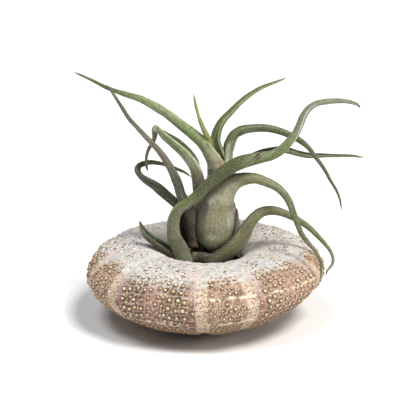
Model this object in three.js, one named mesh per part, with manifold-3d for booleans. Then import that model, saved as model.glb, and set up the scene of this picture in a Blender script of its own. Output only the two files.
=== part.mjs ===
import * as THREE from 'three';
import { mergeVertices } from 'three/addons/utils/BufferGeometryUtils.js';
import Module from 'manifold-3d';

// A medusa's head air plant whose bulb sits in the mouth of a sea urchin shell.
// Millimetres. +Z is up, +X is the right of the plant, -Y is its front.
// The origin is on the small flat under the shell that it stands on.

const wasm = await Module();
wasm.setup();
const { Manifold, Mesh } = wasm;

// Sea urchin shell
const SHELL_RADIUS = 47.7;
const SHELL_DEPTH = 22.2;
const WIDEST_Z = 21.7;
const CREST_RADIUS = 27.5;
const CREST_HEIGHT = 9.9;
const MOUTH_RADIUS = 15;
const MOUTH_DROP = 6;
const SHELL_WALL = 1.6;
const HOLE_RADIUS = 14.6;
const HOLE_DEPTH = 8;
const UNDERSIDE_POWER = 1.24;

// The shell is a little five-sided, higher at its front left, and leans a few degrees
const LOBES = 5;
const LOBE_SWELL = 0.01;
const BAND_ANGLE = 11.3;
const HIGH_SIDE_ANGLE = -57;
const HIGH_SIDE_GAIN = 0.16;
const LEAN_SIDE = 2.0;
const LEAN_FRONT = 1.9;
const SHELL_X = -0.1;

// Bumps where the spines once stood, wider apart than on a live shell
const SHELL_STEPS = 120;
const SHELL_ROWS = 32;
const HOLLOW_STEPS = 40;
const HOLLOW_ROWS = 16;
const STEPS_A_LOBE = SHELL_STEPS / LOBES;
const BIG_BUMP = 0.55;
const SMALL_BUMP = 0.4;
const GROOVE = 0.15;
// The rows round the mouth are worn nearly smooth
const WORN_ROWS = 8;
const WORN_LEFT = 0.3;
// The worn spot it stands on has fewer, larger facets
const FOOT_ROWS = 5;
const FOOT_STEPS = 10;

// Leaves
const STRIPS_ACROSS = 5;
const GAP = 0.4;
const THICKEST = 1.0;

const rad = THREE.MathUtils.degToRad;

// A closed solid from a three.js geometry, with its shared corners joined
function solidOf(geometry) {
  const bare = geometry.clone();
  bare.deleteAttribute('normal');
  bare.deleteAttribute('uv');
  const joined = mergeVertices(bare, 1e-4);
  const corners = joined.index.array;
  const faces = [];
  for (let i = 0; i < corners.length; i += 3) {
    const [a, b, c] = [corners[i], corners[i + 1], corners[i + 2]];
    if (a !== b && b !== c && c !== a) {
      faces.push(a, b, c);
    }
  }
  return new Manifold(new Mesh({
    numProp: 3,
    vertProperties: new Float32Array(joined.attributes.position.array),
    triVerts: new Uint32Array(faces),
  }));
}

function geometryOf(solid) {
  const mesh = solid.getMesh();
  const geometry = new THREE.BufferGeometry();
  geometry.setAttribute('position', new THREE.BufferAttribute(mesh.vertProperties, 3));
  geometry.setIndex(new THREE.BufferAttribute(mesh.triVerts, 1));
  geometry.computeVertexNormals();
  return geometry;
}

function largestPiece(solid) {
  const pieces = solid.decompose();
  pieces.sort((a, b) => b.volume() - a.volume());
  return pieces[0];
}

// Puts a point of the upright round shell where it is on the real, leaning one
function settle(point) {
  const angle = Math.atan2(point.x, -point.y);
  const radius = Math.hypot(point.x, point.y);
  const lobe = Math.cos(LOBES * (angle - rad(BAND_ANGLE)));
  const swell = 1 + LOBE_SWELL * lobe * (radius / SHELL_RADIUS);
  const lift = point.z > 0 ? 1 + HIGH_SIDE_GAIN * Math.cos(angle - rad(HIGH_SIDE_ANGLE)) : 1;
  point.set(point.x * swell, point.y * swell, point.z * lift);
  point.applyAxisAngle(new THREE.Vector3(0, 1, 0), -rad(LEAN_SIDE));
  point.applyAxisAngle(new THREE.Vector3(1, 0, 0), rad(LEAN_FRONT));
  point.x += SHELL_X;
  point.z += WIDEST_Z;
  return point;
}

// Half of the shell's section: up the underside, over the crest and down into the mouth
function shellSection(inset) {
  const points = [];
  for (let degrees = 90; degrees > 0; degrees -= 5) {
    points.push(new THREE.Vector2(
      (SHELL_RADIUS - inset) * Math.cos(rad(degrees)),
      -(SHELL_DEPTH - inset) * Math.sin(rad(degrees)) ** UNDERSIDE_POWER,
    ));
  }
  for (let degrees = 0; degrees < 90; degrees += 9) {
    points.push(new THREE.Vector2(
      CREST_RADIUS + (SHELL_RADIUS - inset - CREST_RADIUS) * Math.cos(rad(degrees)),
      (CREST_HEIGHT - inset) * Math.sin(rad(degrees)),
    ));
  }
  for (let degrees = 0; degrees <= 90; degrees += 10) {
    points.push(new THREE.Vector2(
      CREST_RADIUS - (CREST_RADIUS - MOUTH_RADIUS) * Math.sin(rad(degrees)),
      CREST_HEIGHT - inset - MOUTH_DROP * (1 - Math.cos(rad(degrees))),
    ));
  }
  return new THREE.SplineCurve(points);
}

// How far a corner of the shell's outside stands out, in millimetres. Bumps stand in columns,
// counted in steps from the middle of a narrow field; between the columns run shallow grooves.
function bumpAt(step, row, radius) {
  const across = step % STEPS_A_LOBE;
  const fromBand = Math.min(across, STEPS_A_LOBE - across);
  const worn = row > SHELL_ROWS - WORN_ROWS ? WORN_LEFT : 1;
  const size = worn * Math.min(1, radius / (0.6 * SHELL_RADIUS));
  const onRow = row % 2 === 0;
  if (onRow && [6, 8, 10].includes(fromBand)) {
    return BIG_BUMP * size;
  }
  if (onRow && fromBand === 2) {
    return SMALL_BUMP * size;
  }
  return [0, 4, 12].includes(fromBand) ? -GROOVE * size : 0;
}

function turnedShell(section, rows, steps, bumpy) {
  const points = section.getSpacedPoints(rows);
  points[0].x = 0;
  points.push(new THREE.Vector2(0, points[rows].y));
  const geometry = new THREE.LatheGeometry(points, steps, rad(BAND_ANGLE));
  geometry.rotateX(Math.PI / 2);
  const corners = geometry.attributes.position;
  const corner = new THREE.Vector3();
  for (let step = 0; step <= steps; step++) {
    for (let row = 0; row < points.length; row++) {
      const index = step * points.length + row;
      corner.fromBufferAttribute(corners, index);
      if (bumpy && row > 0 && row < rows) {
        const along = points[row + 1].clone().sub(points[row - 1]).normalize();
        const round = new THREE.Vector2(corner.x, corner.y).normalize();
        const bump = bumpAt(step, row, points[row].x);
        corner.x += round.x * along.y * bump;
        corner.y += round.y * along.y * bump;
        corner.z -= along.x * bump;
      }
      settle(corner);
      corners.setXYZ(index, corner.x, corner.y, corner.z);
    }
  }
  for (let step = 0; bumpy && step <= steps; step++) {
    const nearest = Math.round(step / FOOT_STEPS) * FOOT_STEPS;
    for (let row = 0; row <= FOOT_ROWS; row++) {
      corner.fromBufferAttribute(corners, nearest * points.length + row);
      corners.setXYZ(step * points.length + row, corner.x, corner.y, corner.z);
    }
  }
  return solidOf(geometry);
}

function urchinShell() {
  const outside = turnedShell(shellSection(0), SHELL_ROWS, SHELL_STEPS, true);
  const hollow = turnedShell(shellSection(SHELL_WALL), HOLLOW_ROWS, HOLLOW_STEPS, false);
  const mouth = new THREE.CylinderGeometry(HOLE_RADIUS, HOLE_RADIUS, HOLE_DEPTH, HOLLOW_STEPS);
  mouth.rotateX(Math.PI / 2);
  mouth.translate(0, 0, CREST_HEIGHT - MOUTH_DROP);
  const corner = new THREE.Vector3();
  for (let i = 0; i < mouth.attributes.position.count; i++) {
    corner.fromBufferAttribute(mouth.attributes.position, i);
    settle(corner);
    mouth.attributes.position.setXYZ(i, corner.x, corner.y, corner.z);
  }
  const open = outside.subtract(hollow).subtract(solidOf(mouth));
  return largestPiece(open.trimByPlane([0, 0, 1], 0));
}

// The packed inner sheaths and short stem in the middle of the bulb
const HEART = {
  x: 3.7,
  neckX: 6.2,
  neckY: 0.8,
  bendFrom: 46,
  bendTo: 60,
  // height and radius, from the foot of the stem to the growing tip
  section: [
    [22, 0], [22, 2.2], [24.5, 2.9], [29, 2.4], [31.5, 3.6], [36, 6.4], [41, 7.5], [46, 7.0],
    [51, 5.9], [55.5, 4.5], [60, 3.4], [64, 2.4], [66.5, 1.2], [67, 0],
  ],
};

function heartSolid(grow) {
  const points = HEART.section.map(([z, r]) => new THREE.Vector2(r > 0 ? r + grow : 0, z));
  points[0].y -= grow;
  points[1].y -= grow;
  points[points.length - 1].y += grow;
  const geometry = new THREE.LatheGeometry(points, 18);
  geometry.rotateX(Math.PI / 2);
  const corners = geometry.attributes.position;
  for (let i = 0; i < corners.count; i++) {
    const z = corners.getZ(i);
    const bend = THREE.MathUtils.smoothstep(z, HEART.bendFrom, HEART.bendTo);
    corners.setX(i, corners.getX(i) + HEART.x + bend * (HEART.neckX - HEART.x));
    corners.setY(i, corners.getY(i) + bend * HEART.neckY);
  }
  return solidOf(geometry);
}

// Each leaf is one long strip, curled across its width into a channel and bent along its length.
// A guide row holds x, y, z of the channel's middle, its radius, half its curl and its twist,
// both in degrees. Back is the way the closed side of the channel looks at the leaf's foot.
const LEAVES = [
  {
    name: 'leaf_top_spike',
    colour: '#9aa15a',
    back: [-0.3, -1, 0],
    rings: 10,
    guide: [
      [6.5, 0, 62, 2.6, 100, 0],
      [6, 0, 66, 2.2, 105, 0],
      [4.5, 0, 70.5, 1.3, 115, 0],
      [2, 0, 74, 1.0, 120, 0],
      [-0.5, 0, 78.5, 0.9, 120, 0],
      [-2, 0, 83, 0.8, 120, 0],
      [-3.5, 0, 88.5, 0.6, 110, 0],
      [-4.5, 0, 94, 0.3, 100, 0],
    ],
  },
  {
    name: 'leaf_upper_right',
    colour: '#86985a',
    back: [0.6, 0.8, 0],
    rings: 15,
    guide: [
      [7, 2, 58, 4.4, 95, 0],
      [7, 3, 63, 3.2, 100, 0],
      [5.5, 3.5, 69, 2.2, 110, 0],
      [4.2, 4.5, 73.5, 2.0, 115, 0],
      [5, 6, 77.5, 1.8, 120, 0],
      [7, 8, 80.8, 1.6, 120, 0],
      [10, 11, 83.3, 1.4, 120, 0],
      [13.8, 14, 86.6, 1.2, 120, 0],
      [17.5, 17, 89, 1.1, 120, 0],
      [22.5, 20, 91.5, 0.9, 115, 0],
      [28, 23, 93, 0.7, 110, 0],
      [33.5, 26, 94.5, 0.35, 100, 0],
    ],
  },
  {
    name: 'leaf_upper_left',
    colour: '#8a9a62',
    back: [-0.75, -0.65, 0],
    rings: 18,
    guide: [
      [6, 0.5, 56, 5.6, 100, 0],
      [5.5, 0.5, 61, 4.8, 105, 0],
      [4, 0.5, 66, 3.5, 110, 0],
      [1.5, 1, 70, 2.8, 110, 0],
      [-0.5, 1.5, 73, 2.6, 115, 0],
      [-4.5, 3, 76.5, 2.4, 115, 0],
      [-9.5, 5, 80, 2.2, 115, 0],
      [-14.5, 7, 83.5, 2.0, 115, 0],
      [-20, 9, 86.5, 1.8, 120, 0],
      [-26, 11.5, 89, 1.5, 120, 0],
      [-32.5, 13.5, 90.5, 1.2, 120, 0],
      [-39.5, 16, 92.5, 0.9, 115, 0],
      [-45, 17.5, 95, 0.7, 110, 0],
      [-50, 19, 97, 0.55, 105, 0],
      [-53, 20, 98, 0.35, 100, 0],
    ],
  },
  {
    name: 'leaf_right_arch',
    colour: '#7f925b',
    back: [1, 0.2, 0],
    rings: 20,
    guide: [
      [7, 2, 55, 6.0, 95, 0],
      [7.5, 3, 60, 4.6, 100, 0],
      [8, 4, 64.5, 3.2, 105, 0],
      [8.5, 4.5, 69, 2.8, 110, 0],
      [9.5, 5, 72.5, 2.7, 115, 0],
      [11.5, 5.5, 76, 2.4, 115, 0],
      [15, 6, 77.8, 2.2, 120, 0],
      [19, 7, 78.2, 2.0, 120, 0],
      [23.5, 7.5, 78.2, 1.9, 120, 0],
      [28.5, 8, 77.2, 1.8, 120, 0],
      [33, 8, 75.6, 1.7, 120, 0],
      [38.5, 8, 72.6, 1.5, 120, 0],
      [42, 7.5, 69.5, 1.2, 120, 0],
      [45, 7, 65.5, 1.1, 120, 0],
      [48, 6, 61.5, 1.0, 115, 0],
      [50.5, 5, 57, 0.9, 115, 0],
      [53, 4, 53, 0.8, 110, 0],
      [54.5, 3, 49, 0.65, 105, 0],
      [55, 2.5, 45, 0.35, 100, 0],
    ],
  },
  {
    name: 'leaf_right_level',
    colour: '#6f7d4f',
    back: [0.7, 0.7, 0],
    rings: 14,
    guide: [
      [8, 4, 58, 3.6, 95, 0],
      [11, 6.5, 62, 2.2, 105, 0],
      [14, 9, 64.5, 1.8, 115, 0],
      [19, 11.5, 66, 1.7, 120, 0],
      [24.5, 14, 67, 1.6, 120, 0],
      [32.5, 17, 66.5, 1.6, 120, 0],
      [38, 19, 64.5, 1.4, 120, 0],
      [43, 21, 63, 1.3, 120, 0],
      [49, 23, 62.5, 1.0, 115, 0],
      [55, 24.5, 62, 0.8, 110, 0],
      [61, 26, 61.5, 0.65, 105, 0],
      [66, 27, 60.5, 0.35, 100, 0],
    ],
  },
  {
    name: 'leaf_left_curl',
    colour: '#84966a',
    back: [-0.9, -0.4, 0],
    rings: 22,
    guide: [
      [3.6, -1.6, 50, 3.2, 85, 0],
      [1.2, -3.4, 55, 3.2, 90, 0],
      [-1.2, -5.2, 60, 3.1, 105, 0],
      [-3.5, -5.8, 66, 2.8, 115, 0],
      [-7, -5, 70.8, 2.8, 120, 0],
      [-11.5, -3, 74.5, 2.6, 120, 0],
      [-15.5, -1, 77, 2.1, 120, 0],
      [-18, 0.5, 79, 1.6, 120, 0],
      [-19.5, 2.5, 79, 1.3, 120, 0],
      [-20, 4, 77.5, 1.2, 115, 0],
      [-20, 5.5, 75, 1.0, 110, 0],
      [-21, 6, 72, 0.8, 110, 0],
      [-22.5, 6.5, 69.5, 0.7, 105, 0],
      [-23.5, 7, 66, 0.6, 105, 0],
      [-23.5, 7, 62.5, 0.55, 100, 0],
      [-23, 7, 60, 0.35, 100, 0],
    ],
  },
  {
    name: 'leaf_right_drooping',
    colour: '#8c9173',
    back: [0.35, -0.93, 0],
    rings: 25,
    guide: [
      [4, 0, 28.5, 2.2, 150, 0],
      [4, 0, 31.5, 5.2, 145, 0],
      [3.7, 0, 36, 8.0, 135, 0],
      [3.7, 0, 41, 9.0, 130, 0],
      [3.7, 0, 46, 8.6, 125, 0],
      [4.5, -0.5, 51, 7.8, 120, 0],
      [7, -2, 55, 5.9, 110, 0],
      [10.5, -4, 58.5, 4.2, 105, 0],
      [14, -5.5, 60.5, 3.1, 110, 0],
      [19.8, -8.5, 61.8, 2.3, 115, 0],
      [23.3, -10, 61, 2.1, 120, 0],
      [28, -11.5, 59.1, 1.9, 120, 0],
      [31, -13, 56.7, 1.7, 120, 0],
      [33, -14, 53.8, 1.6, 120, 0],
      [35, -15, 48.5, 1.45, 120, 0],
      [36.5, -15.5, 44.5, 1.3, 120, 0],
      [38, -16, 41, 1.2, 120, 0],
      [40.5, -17, 38, 1.05, 115, 0],
      [43, -19, 35.5, 0.95, 115, 0],
      [44.5, -20.5, 33, 0.8, 110, 0],
      [45.5, -21.5, 29.5, 0.65, 105, 0],
      [45, -21.5, 24, 0.35, 100, 0],
    ],
  },
  {
    name: 'back_sheath',
    colour: '#6d7160',
    back: [0.6, 0.8, 0],
    rings: 8,
    guide: [
      [4.4, 0.8, 22, 3.8, 110, 0],
      [4.4, 0.8, 27, 3.9, 112, 0],
      [4.4, 0.9, 31, 6.8, 108, 0],
      [4.3, 1, 36, 9.4, 98, 0],
      [4.2, 1, 40, 9.8, 90, 0],
      [4.2, 1, 44, 9.2, 78, 0],
      [4.1, 1, 47, 8.4, 62, 0],
    ],
  },
  {
    name: 'leaf_left_long',
    colour: '#7d7f66',
    back: [-0.85, -0.5, 0],
    rings: 21,
    guide: [
      [-3.6, -2.2, 32.3, 3.8, 104, 0],
      [-4.8, -2.8, 38.5, 3.6, 98, 0],
      [-5.6, -4, 44, 3.5, 92, 0],
      [-6.9, -5.5, 49.5, 3.0, 96, 0],
      [-8, -6.4, 52.5, 2.7, 105, 0],
      [-9.3, -7, 55.3, 2.4, 110, 0],
      [-10.3, -7.5, 58.8, 2.2, 115, 0],
      [-11.7, -8, 62.5, 2.0, 120, 0],
      [-13.3, -8.5, 66, 1.8, 120, 0],
      [-15.6, -9, 70, 1.6, 120, 0],
      [-18.3, -10, 74, 1.4, 120, 0],
      [-21.7, -11, 78, 1.25, 120, 0],
      [-25.5, -12, 82.5, 1.1, 120, 0],
      [-29, -13.5, 87, 1.0, 115, 0],
      [-31.5, -15, 91.5, 0.9, 115, 0],
      [-34, -16, 96, 0.75, 110, 0],
      [-36, -17, 99.5, 0.6, 105, 0],
      [-37, -18, 101, 0.35, 100, 0],
    ],
  },
  {
    name: 'leaf_left_loop',
    colour: '#62683f',
    back: [-0.5, -0.2, -0.85],
    rings: 24,
    guide: [
      [-0.8, 2.2, 26.5, 4.2, 90, 0],
      [-2.6, 1.8, 33, 4.0, 88, 0],
      [-4.4, 0.6, 38.5, 3.2, 88, 0],
      [-6, -0.7, 43.4, 2.6, 92, 0],
      [-8.5, -1.5, 46.8, 2.7, 100, 0],
      [-11, -2, 50.2, 2.8, 105, 0],
      [-14.5, -2, 53.2, 2.6, 110, 0],
      [-19, -2, 57, 2.3, 115, 0],
      [-23.3, -1, 59.3, 1.9, 115, 0],
      [-25.8, 2, 60.2, 1.5, 115, 0],
      [-27, 5, 61.5, 1.35, 115, 0],
      [-26.2, 8, 62.3, 1.2, 115, 0],
      [-24.5, 10, 62.5, 1.1, 110, 0],
      [-22, 12, 62.5, 1.0, 110, 0],
      [-18.5, 14, 61.5, 0.85, 110, 0],
      [-15.5, 15, 60.5, 0.75, 105, 0],
      [-12.5, 16, 59, 0.7, 105, 0],
      [-8.5, 17, 57, 0.55, 100, 0],
      [-5.5, 18, 54.5, 0.35, 100, 0],
    ],
  },
  {
    name: 'leaf_front_crossing',
    colour: '#7c9155',
    back: [-0.8, 0.6, 0],
    rings: 30,
    guide: [
      [-6.5, -6.6, 23, 3.0, 125, 60],
      [-8.2, -6.8, 29, 3.8, 130, 50],
      [-9.6, -6.8, 35, 4.6, 130, 27],
      [-10.6, -7, 40, 4.7, 125, 14],
      [-10.8, -7.4, 44.2, 4.0, 125, 14],
      [-9.4, -8.2, 48.5, 3.1, 125, 12],
      [-6, -9, 51.5, 2.7, 125, 10],
      [-2.3, -9.6, 55, 2.5, 125, 12],
      [1, -10, 59, 2.4, 125, 25],
      [4.5, -10.2, 62.5, 2.4, 125, 40],
      [8.5, -10.2, 65.5, 2.6, 130, 60],
      [13, -10, 68, 2.7, 130, 85],
      [18, -10, 69.5, 2.5, 125, 110],
      [22.5, -9.8, 70.5, 2.2, 120, 125],
      [26.5, -9.4, 71.5, 2.1, 120, 125],
      [30, -9, 73.5, 1.9, 120, 125],
      [32.7, -8, 76, 1.7, 120, 120],
      [35.2, -7, 79, 1.6, 120, 110],
      [37, -6, 82.7, 1.5, 120, 100],
      [38.6, -5, 86.2, 1.4, 120, 90],
      [40.8, -4, 88.8, 1.3, 120, 90],
      [43.7, -3, 90.3, 1.2, 120, 90],
      [48.5, -1, 90.7, 1.1, 115, 90],
      [53, 1, 90.4, 1.0, 115, 90],
      [57, 3, 89.5, 0.8, 110, 90],
      [60, 4, 88.3, 0.65, 105, 90],
      [61.5, 5, 86.5, 0.35, 100, 90],
    ],
  },
  {
    name: 'leaf_right_low',
    colour: '#7a8250',
    back: [0.3, -0.5, -0.8],
    rings: 26,
    guide: [
      [-5.5, -5.2, 28.8, 3.4, 95, 0],
      [-1.5, -5, 28.3, 4.0, 98, 0],
      [2.5, -4.8, 27.4, 4.4, 96, 0],
      [6.8, -4.8, 29.7, 4.1, 96, 0],
      [11.2, -5.2, 33.4, 4.0, 100, 0],
      [14.5, -5.5, 37.5, 3.7, 105, 0],
      [16.8, -5.6, 41.3, 2.9, 110, 0],
      [19.3, -5.5, 44.6, 2.5, 115, 0],
      [22.5, -5, 46.8, 2.2, 120, 0],
      [26.5, -4.5, 47.3, 2.0, 120, 0],
      [30.5, -4, 46.3, 1.7, 120, 0],
      [34.5, -4, 44.5, 1.5, 120, 0],
      [38.2, -4, 42.4, 1.3, 120, 0],
      [41.9, -4.5, 39.7, 1.2, 120, 0],
      [45, -5.5, 36.8, 1.0, 115, 0],
      [48, -7, 33.8, 0.9, 115, 0],
      [50, -8.5, 31.4, 0.8, 110, 0],
      [50.9, -10, 29, 0.75, 110, 0],
      [50.8, -11, 27.3, 0.7, 105, 0],
      [49.8, -12, 25.9, 0.65, 105, 0],
      [48.5, -13, 24.7, 0.55, 105, 0],
      [47.8, -14, 23, 0.35, 100, 0],
    ],
  },
  {
    name: 'leaf_left_short',
    colour: '#4f5a40',
    back: [-0.1, 0.3, -0.9],
    rings: 12,
    guide: [
      [-8, -5, 25.5, 2.2, 95, 0],
      [-11.4, -5.4, 29, 2.3, 100, 0],
      [-15, -5.4, 31.8, 2.2, 105, 0],
      [-19.4, -5, 35, 2.0, 105, 0],
      [-22.6, -4.6, 37.3, 1.6, 110, 0],
      [-24.4, -4, 39.2, 1.1, 105, 0],
      [-25.6, -3.4, 41.2, 0.7, 100, 0],
      [-26, -3, 42.6, 0.35, 100, 0],
    ],
  },
];

function leafSolid(leaf, grow) {
  const { guide, rings } = leaf;
  const middles = guide.map((row) => new THREE.Vector3(row[0], row[1], row[2]));
  const sections = guide.map((row) => new THREE.Vector3(row[3], row[4], row[5]));
  const middle = new THREE.CatmullRomCurve3(middles);
  const sizes = new THREE.CatmullRomCurve3(sections);
  const strip = new THREE.BoxGeometry(1, 1, 1, STRIPS_ACROSS, 1, rings);
  const frames = [];
  const back = new THREE.Vector3(...leaf.back);
  for (let ring = 0; ring <= rings; ring++) {
    const along = middle.getTangent(ring / rings);
    back.addScaledVector(along, -back.dot(along)).normalize();
    const size = sizes.getPoint(ring / rings);
    const outward = back.clone().applyAxisAngle(along, rad(size.z));
    const beyond = ring === 0 ? -grow : ring === rings ? grow : 0;
    frames.push({
      centre: middle.getPoint(ring / rings).addScaledVector(along, beyond),
      outward,
      aside: along.clone().cross(outward),
      radius: size.x,
      curl: rad(size.y),
    });
  }
  const corners = strip.attributes.position;
  for (let i = 0; i < corners.count; i++) {
    const frame = frames[Math.round((corners.getZ(i) + 0.5) * rings)];
    const across = corners.getX(i) * 2;
    const { radius } = frame;
    const atMiddle = Math.min(0.9 * radius, 0.55 + 0.16 * radius, THICKEST);
    const thickness = atMiddle * (1 - 0.25 * across ** 2);
    const isOutside = corners.getY(i) > 0;
    const reach = isOutside ? radius + grow : Math.max(radius - thickness - grow, 0.04);
    const angle = across * (frame.curl + grow / radius);
    const corner = frame.centre.clone();
    corner.addScaledVector(frame.outward, reach * Math.cos(angle));
    corner.addScaledVector(frame.aside, reach * Math.sin(angle));
    corners.setXYZ(i, corner.x, corner.y, corner.z);
  }
  const solid = solidOf(strip);
  if (solid.volume() > 0) {
    return solid;
  }
  const index = strip.index.array;
  for (let i = 0; i < index.length; i += 3) {
    [index[i], index[i + 1]] = [index[i + 1], index[i]];
  }
  return solidOf(strip);
}

function plantSolids() {
  const pieces = [{ name: 'bulb_heart', colour: '#7b8062', solid: heartSolid(0) }];
  const kept = [heartSolid(GAP)];
  for (const leaf of LEAVES) {
    let solid = leafSolid(leaf, 0);
    for (const inner of kept) {
      solid = solid.subtract(inner);
    }
    solid = largestPiece(solid).simplify(0.01);
    pieces.push({ name: leaf.name, colour: leaf.colour, solid });
    kept.push(leafSolid(leaf, GAP));
  }
  return pieces;
}

const plant = new THREE.Group();
plant.name = 'air_plant_in_urchin_shell';

function addPiece(name, solid, colour, roughness) {
  const material = new THREE.MeshStandardMaterial({ color: colour, roughness, metalness: 0 });
  const mesh = new THREE.Mesh(geometryOf(solid), material);
  mesh.name = name;
  plant.add(mesh);
}

addPiece('urchin_shell', urchinShell(), '#cdbfae', 0.8);
for (const { name, solid, colour } of plantSolids()) {
  addPiece(name, solid, colour, 0.65);
}

export default plant;
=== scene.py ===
# %% [markdown]
# This lesson dresses a medusa's head air plant that sits in the mouth of a sea urchin shell.
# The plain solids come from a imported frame, in metres, standing on z = 0 with the front at -Y.
# Every solid is replaced by a finer piece of the same form: the shell with its small round
# knobs, the bulb, and the long leaves, which are channels curled across their width.

# %% Load the frame
import bisect
import math
import random
from itertools import product

import bmesh
import bpy
from mathutils import Matrix, Vector, noise
from mathutils.kdtree import KDTree


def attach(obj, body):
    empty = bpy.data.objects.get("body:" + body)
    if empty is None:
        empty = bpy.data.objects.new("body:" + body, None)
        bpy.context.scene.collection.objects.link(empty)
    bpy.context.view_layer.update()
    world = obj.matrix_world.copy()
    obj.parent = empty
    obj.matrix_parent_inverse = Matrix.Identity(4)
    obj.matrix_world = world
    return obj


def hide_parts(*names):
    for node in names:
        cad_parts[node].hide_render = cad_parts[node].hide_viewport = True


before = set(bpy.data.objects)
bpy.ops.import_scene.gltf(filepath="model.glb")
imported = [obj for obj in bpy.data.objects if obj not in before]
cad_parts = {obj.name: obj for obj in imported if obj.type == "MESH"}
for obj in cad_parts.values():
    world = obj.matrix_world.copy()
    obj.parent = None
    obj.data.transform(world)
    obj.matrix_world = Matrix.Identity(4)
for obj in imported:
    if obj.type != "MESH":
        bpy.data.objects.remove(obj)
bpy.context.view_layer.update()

MM = 0.001
print("solids in the frame:", sorted(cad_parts))

# %% [markdown]
# The camera comes first, because everything is judged through it. It looks down on the plant
# by 17 degrees from 600 mm away through a long lens, as a small product photograph does.

# %% Camera
CAMERA_TILT = 17.0
CAMERA_DISTANCE = 600.0
AIM = Vector((1.2, 0.0, 46.8))
PIXEL_AT_AIM = 0.4
PICTURE_PIXELS = 416
SENSOR_WIDTH = 36.0
FARTHEST_SEEN = 10.0

tilt = math.radians(CAMERA_TILT)
camera = bpy.data.objects.new("camera", bpy.data.cameras.new("camera"))
camera.data.sensor_width = SENSOR_WIDTH
camera.data.lens = SENSOR_WIDTH * CAMERA_DISTANCE / (PIXEL_AT_AIM * PICTURE_PIXELS)
camera.data.clip_end = FARTHEST_SEEN
back_off = Vector((0, -math.cos(tilt), math.sin(tilt))) * CAMERA_DISTANCE
camera.location = (AIM + back_off) * MM
camera.rotation_euler = (math.radians(90 - CAMERA_TILT), 0, 0)
bpy.context.scene.collection.objects.link(camera)
bpy.context.scene.camera = camera
print("lens in mm:", round(camera.data.lens, 1))

# %% [markdown]
# Each material is a small graph of nodes. These helpers keep the graphs readable: one makes a
# material with its shader, one adds a node with its values, and the others name the few sums
# that come again and again. Most colours are laid over each other like coats of paint, each
# with a share that says where it covers.

# %% Helpers for materials
NOISE_ROUGHNESS = 0.55


class Finish:
    """A material whose nodes are added one by one."""

    def __init__(self, name, roughness):
        self.material = bpy.data.materials.new(name)
        self.material.use_nodes = True
        self.tree = self.material.node_tree
        self.shader = self.tree.nodes["Principled BSDF"]
        self.set("Roughness", roughness)

    def set(self, socket, value):
        self.shader.inputs[socket].default_value = value

    def add(self, kind, inputs=(), output=0, **settings):
        """Adds one node. inputs are values or sockets, in order or by name; gives one output."""
        node = self.tree.nodes.new(kind)
        for key, value in settings.items():
            setattr(node, key, value)
        pairs = inputs.items() if isinstance(inputs, dict) else enumerate(inputs)
        for key, value in pairs:
            if isinstance(value, bpy.types.NodeSocket):
                self.tree.links.new(value, node.inputs[key])
            elif value is not None:
                node.inputs[key].default_value = value
        return node.outputs[output]

    def attribute(self, name):
        return self.add("ShaderNodeAttribute", output="Fac", attribute_name=name)

    def here(self):
        return self.add("ShaderNodeTexCoord", output="Object")

    def coordinate(self, axis):
        """The place of a point along one axis of the object, in metres."""
        return self.add("ShaderNodeSeparateXYZ", [self.here()], output=axis)

    def math(self, operation, a, b=None):
        return self.add("ShaderNodeMath", [a, b], operation=operation)

    def plus(self, a, b):
        return self.math("ADD", a, b)

    def times(self, a, b):
        return self.math("MULTIPLY", a, b)

    def between(self, value, low, high, to_low, to_high):
        """A soft step: to_low below low, to_high above high."""
        inputs = {"Value": value, "From Min": low, "From Max": high,
                  "To Min": to_low, "To Max": to_high}
        return self.add("ShaderNodeMapRange", inputs, interpolation_type="SMOOTHSTEP")

    def rising(self, value, low, high, top=1.0):
        return self.between(value, low, high, 0.0, top)

    def falling(self, value, low, high, top=1.0):
        return self.between(value, low, high, top, 0.0)

    def mix(self, share, a, b):
        """Colour a where share is 0, colour b where it is 1."""
        inputs = {0: share, 6: colour(a), 7: colour(b)}
        return self.add("ShaderNodeMix", inputs, output=2, data_type="RGBA")

    def coats(self, skin, *coats):
        """Lays coats over the skin, in order; each is a share and a colour."""
        for share, tint in coats:
            skin = self.mix(share, skin, tint)
        return skin

    def noise(self, scale, detail, vector=None):
        inputs = {"Vector": vector or self.here(), "Scale": scale, "Detail": detail,
                  "Roughness": NOISE_ROUGHNESS}
        return self.add("ShaderNodeTexNoise", inputs)

    def stretched(self, across, across_scale, along, along_scale, layer=0.0):
        """Places for a pattern that follows two measures, each with its own scale."""
        parts = [self.times(across, across_scale), self.times(along, along_scale), layer]
        return self.add("ShaderNodeCombineXYZ", parts)

    def cells(self, vector):
        """Distance from the nearest of many scattered points, one to each unit of vector."""
        return self.add("ShaderNodeTexVoronoi", {"Vector": vector, "Scale": 1.0})

    def colour(self, socket):
        self.tree.links.new(socket, self.shader.inputs["Base Color"])

    def relief(self, height, distance, strength=1.0):
        """Fine relief from a height of 0 to 1, as deep as distance in metres."""
        inputs = {"Height": height, "Distance": distance, "Strength": strength}
        bump = self.add("ShaderNodeBump", inputs)
        self.tree.links.new(bump, self.shader.inputs["Normal"])


def colour(value):
    """A socket stays as it is; three numbers 0 to 255, as on a screen, become a linear colour."""
    if isinstance(value, bpy.types.NodeSocket):
        return value
    return tuple((c / 255) ** 2.2 for c in value) + (1.0,)


# %% [markdown]
# Every piece is made as a bmesh. Turning it into an object is always the same: recalculate
# which way its faces look, smooth it, give it its material, let it ride on the frame, and hide
# the solids that it stands for.

# %% Helper for finished pieces


def to_mesh(bm, name):
    mesh = bpy.data.meshes.new(name)
    bm.to_mesh(mesh)
    bm.free()
    return mesh


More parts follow.
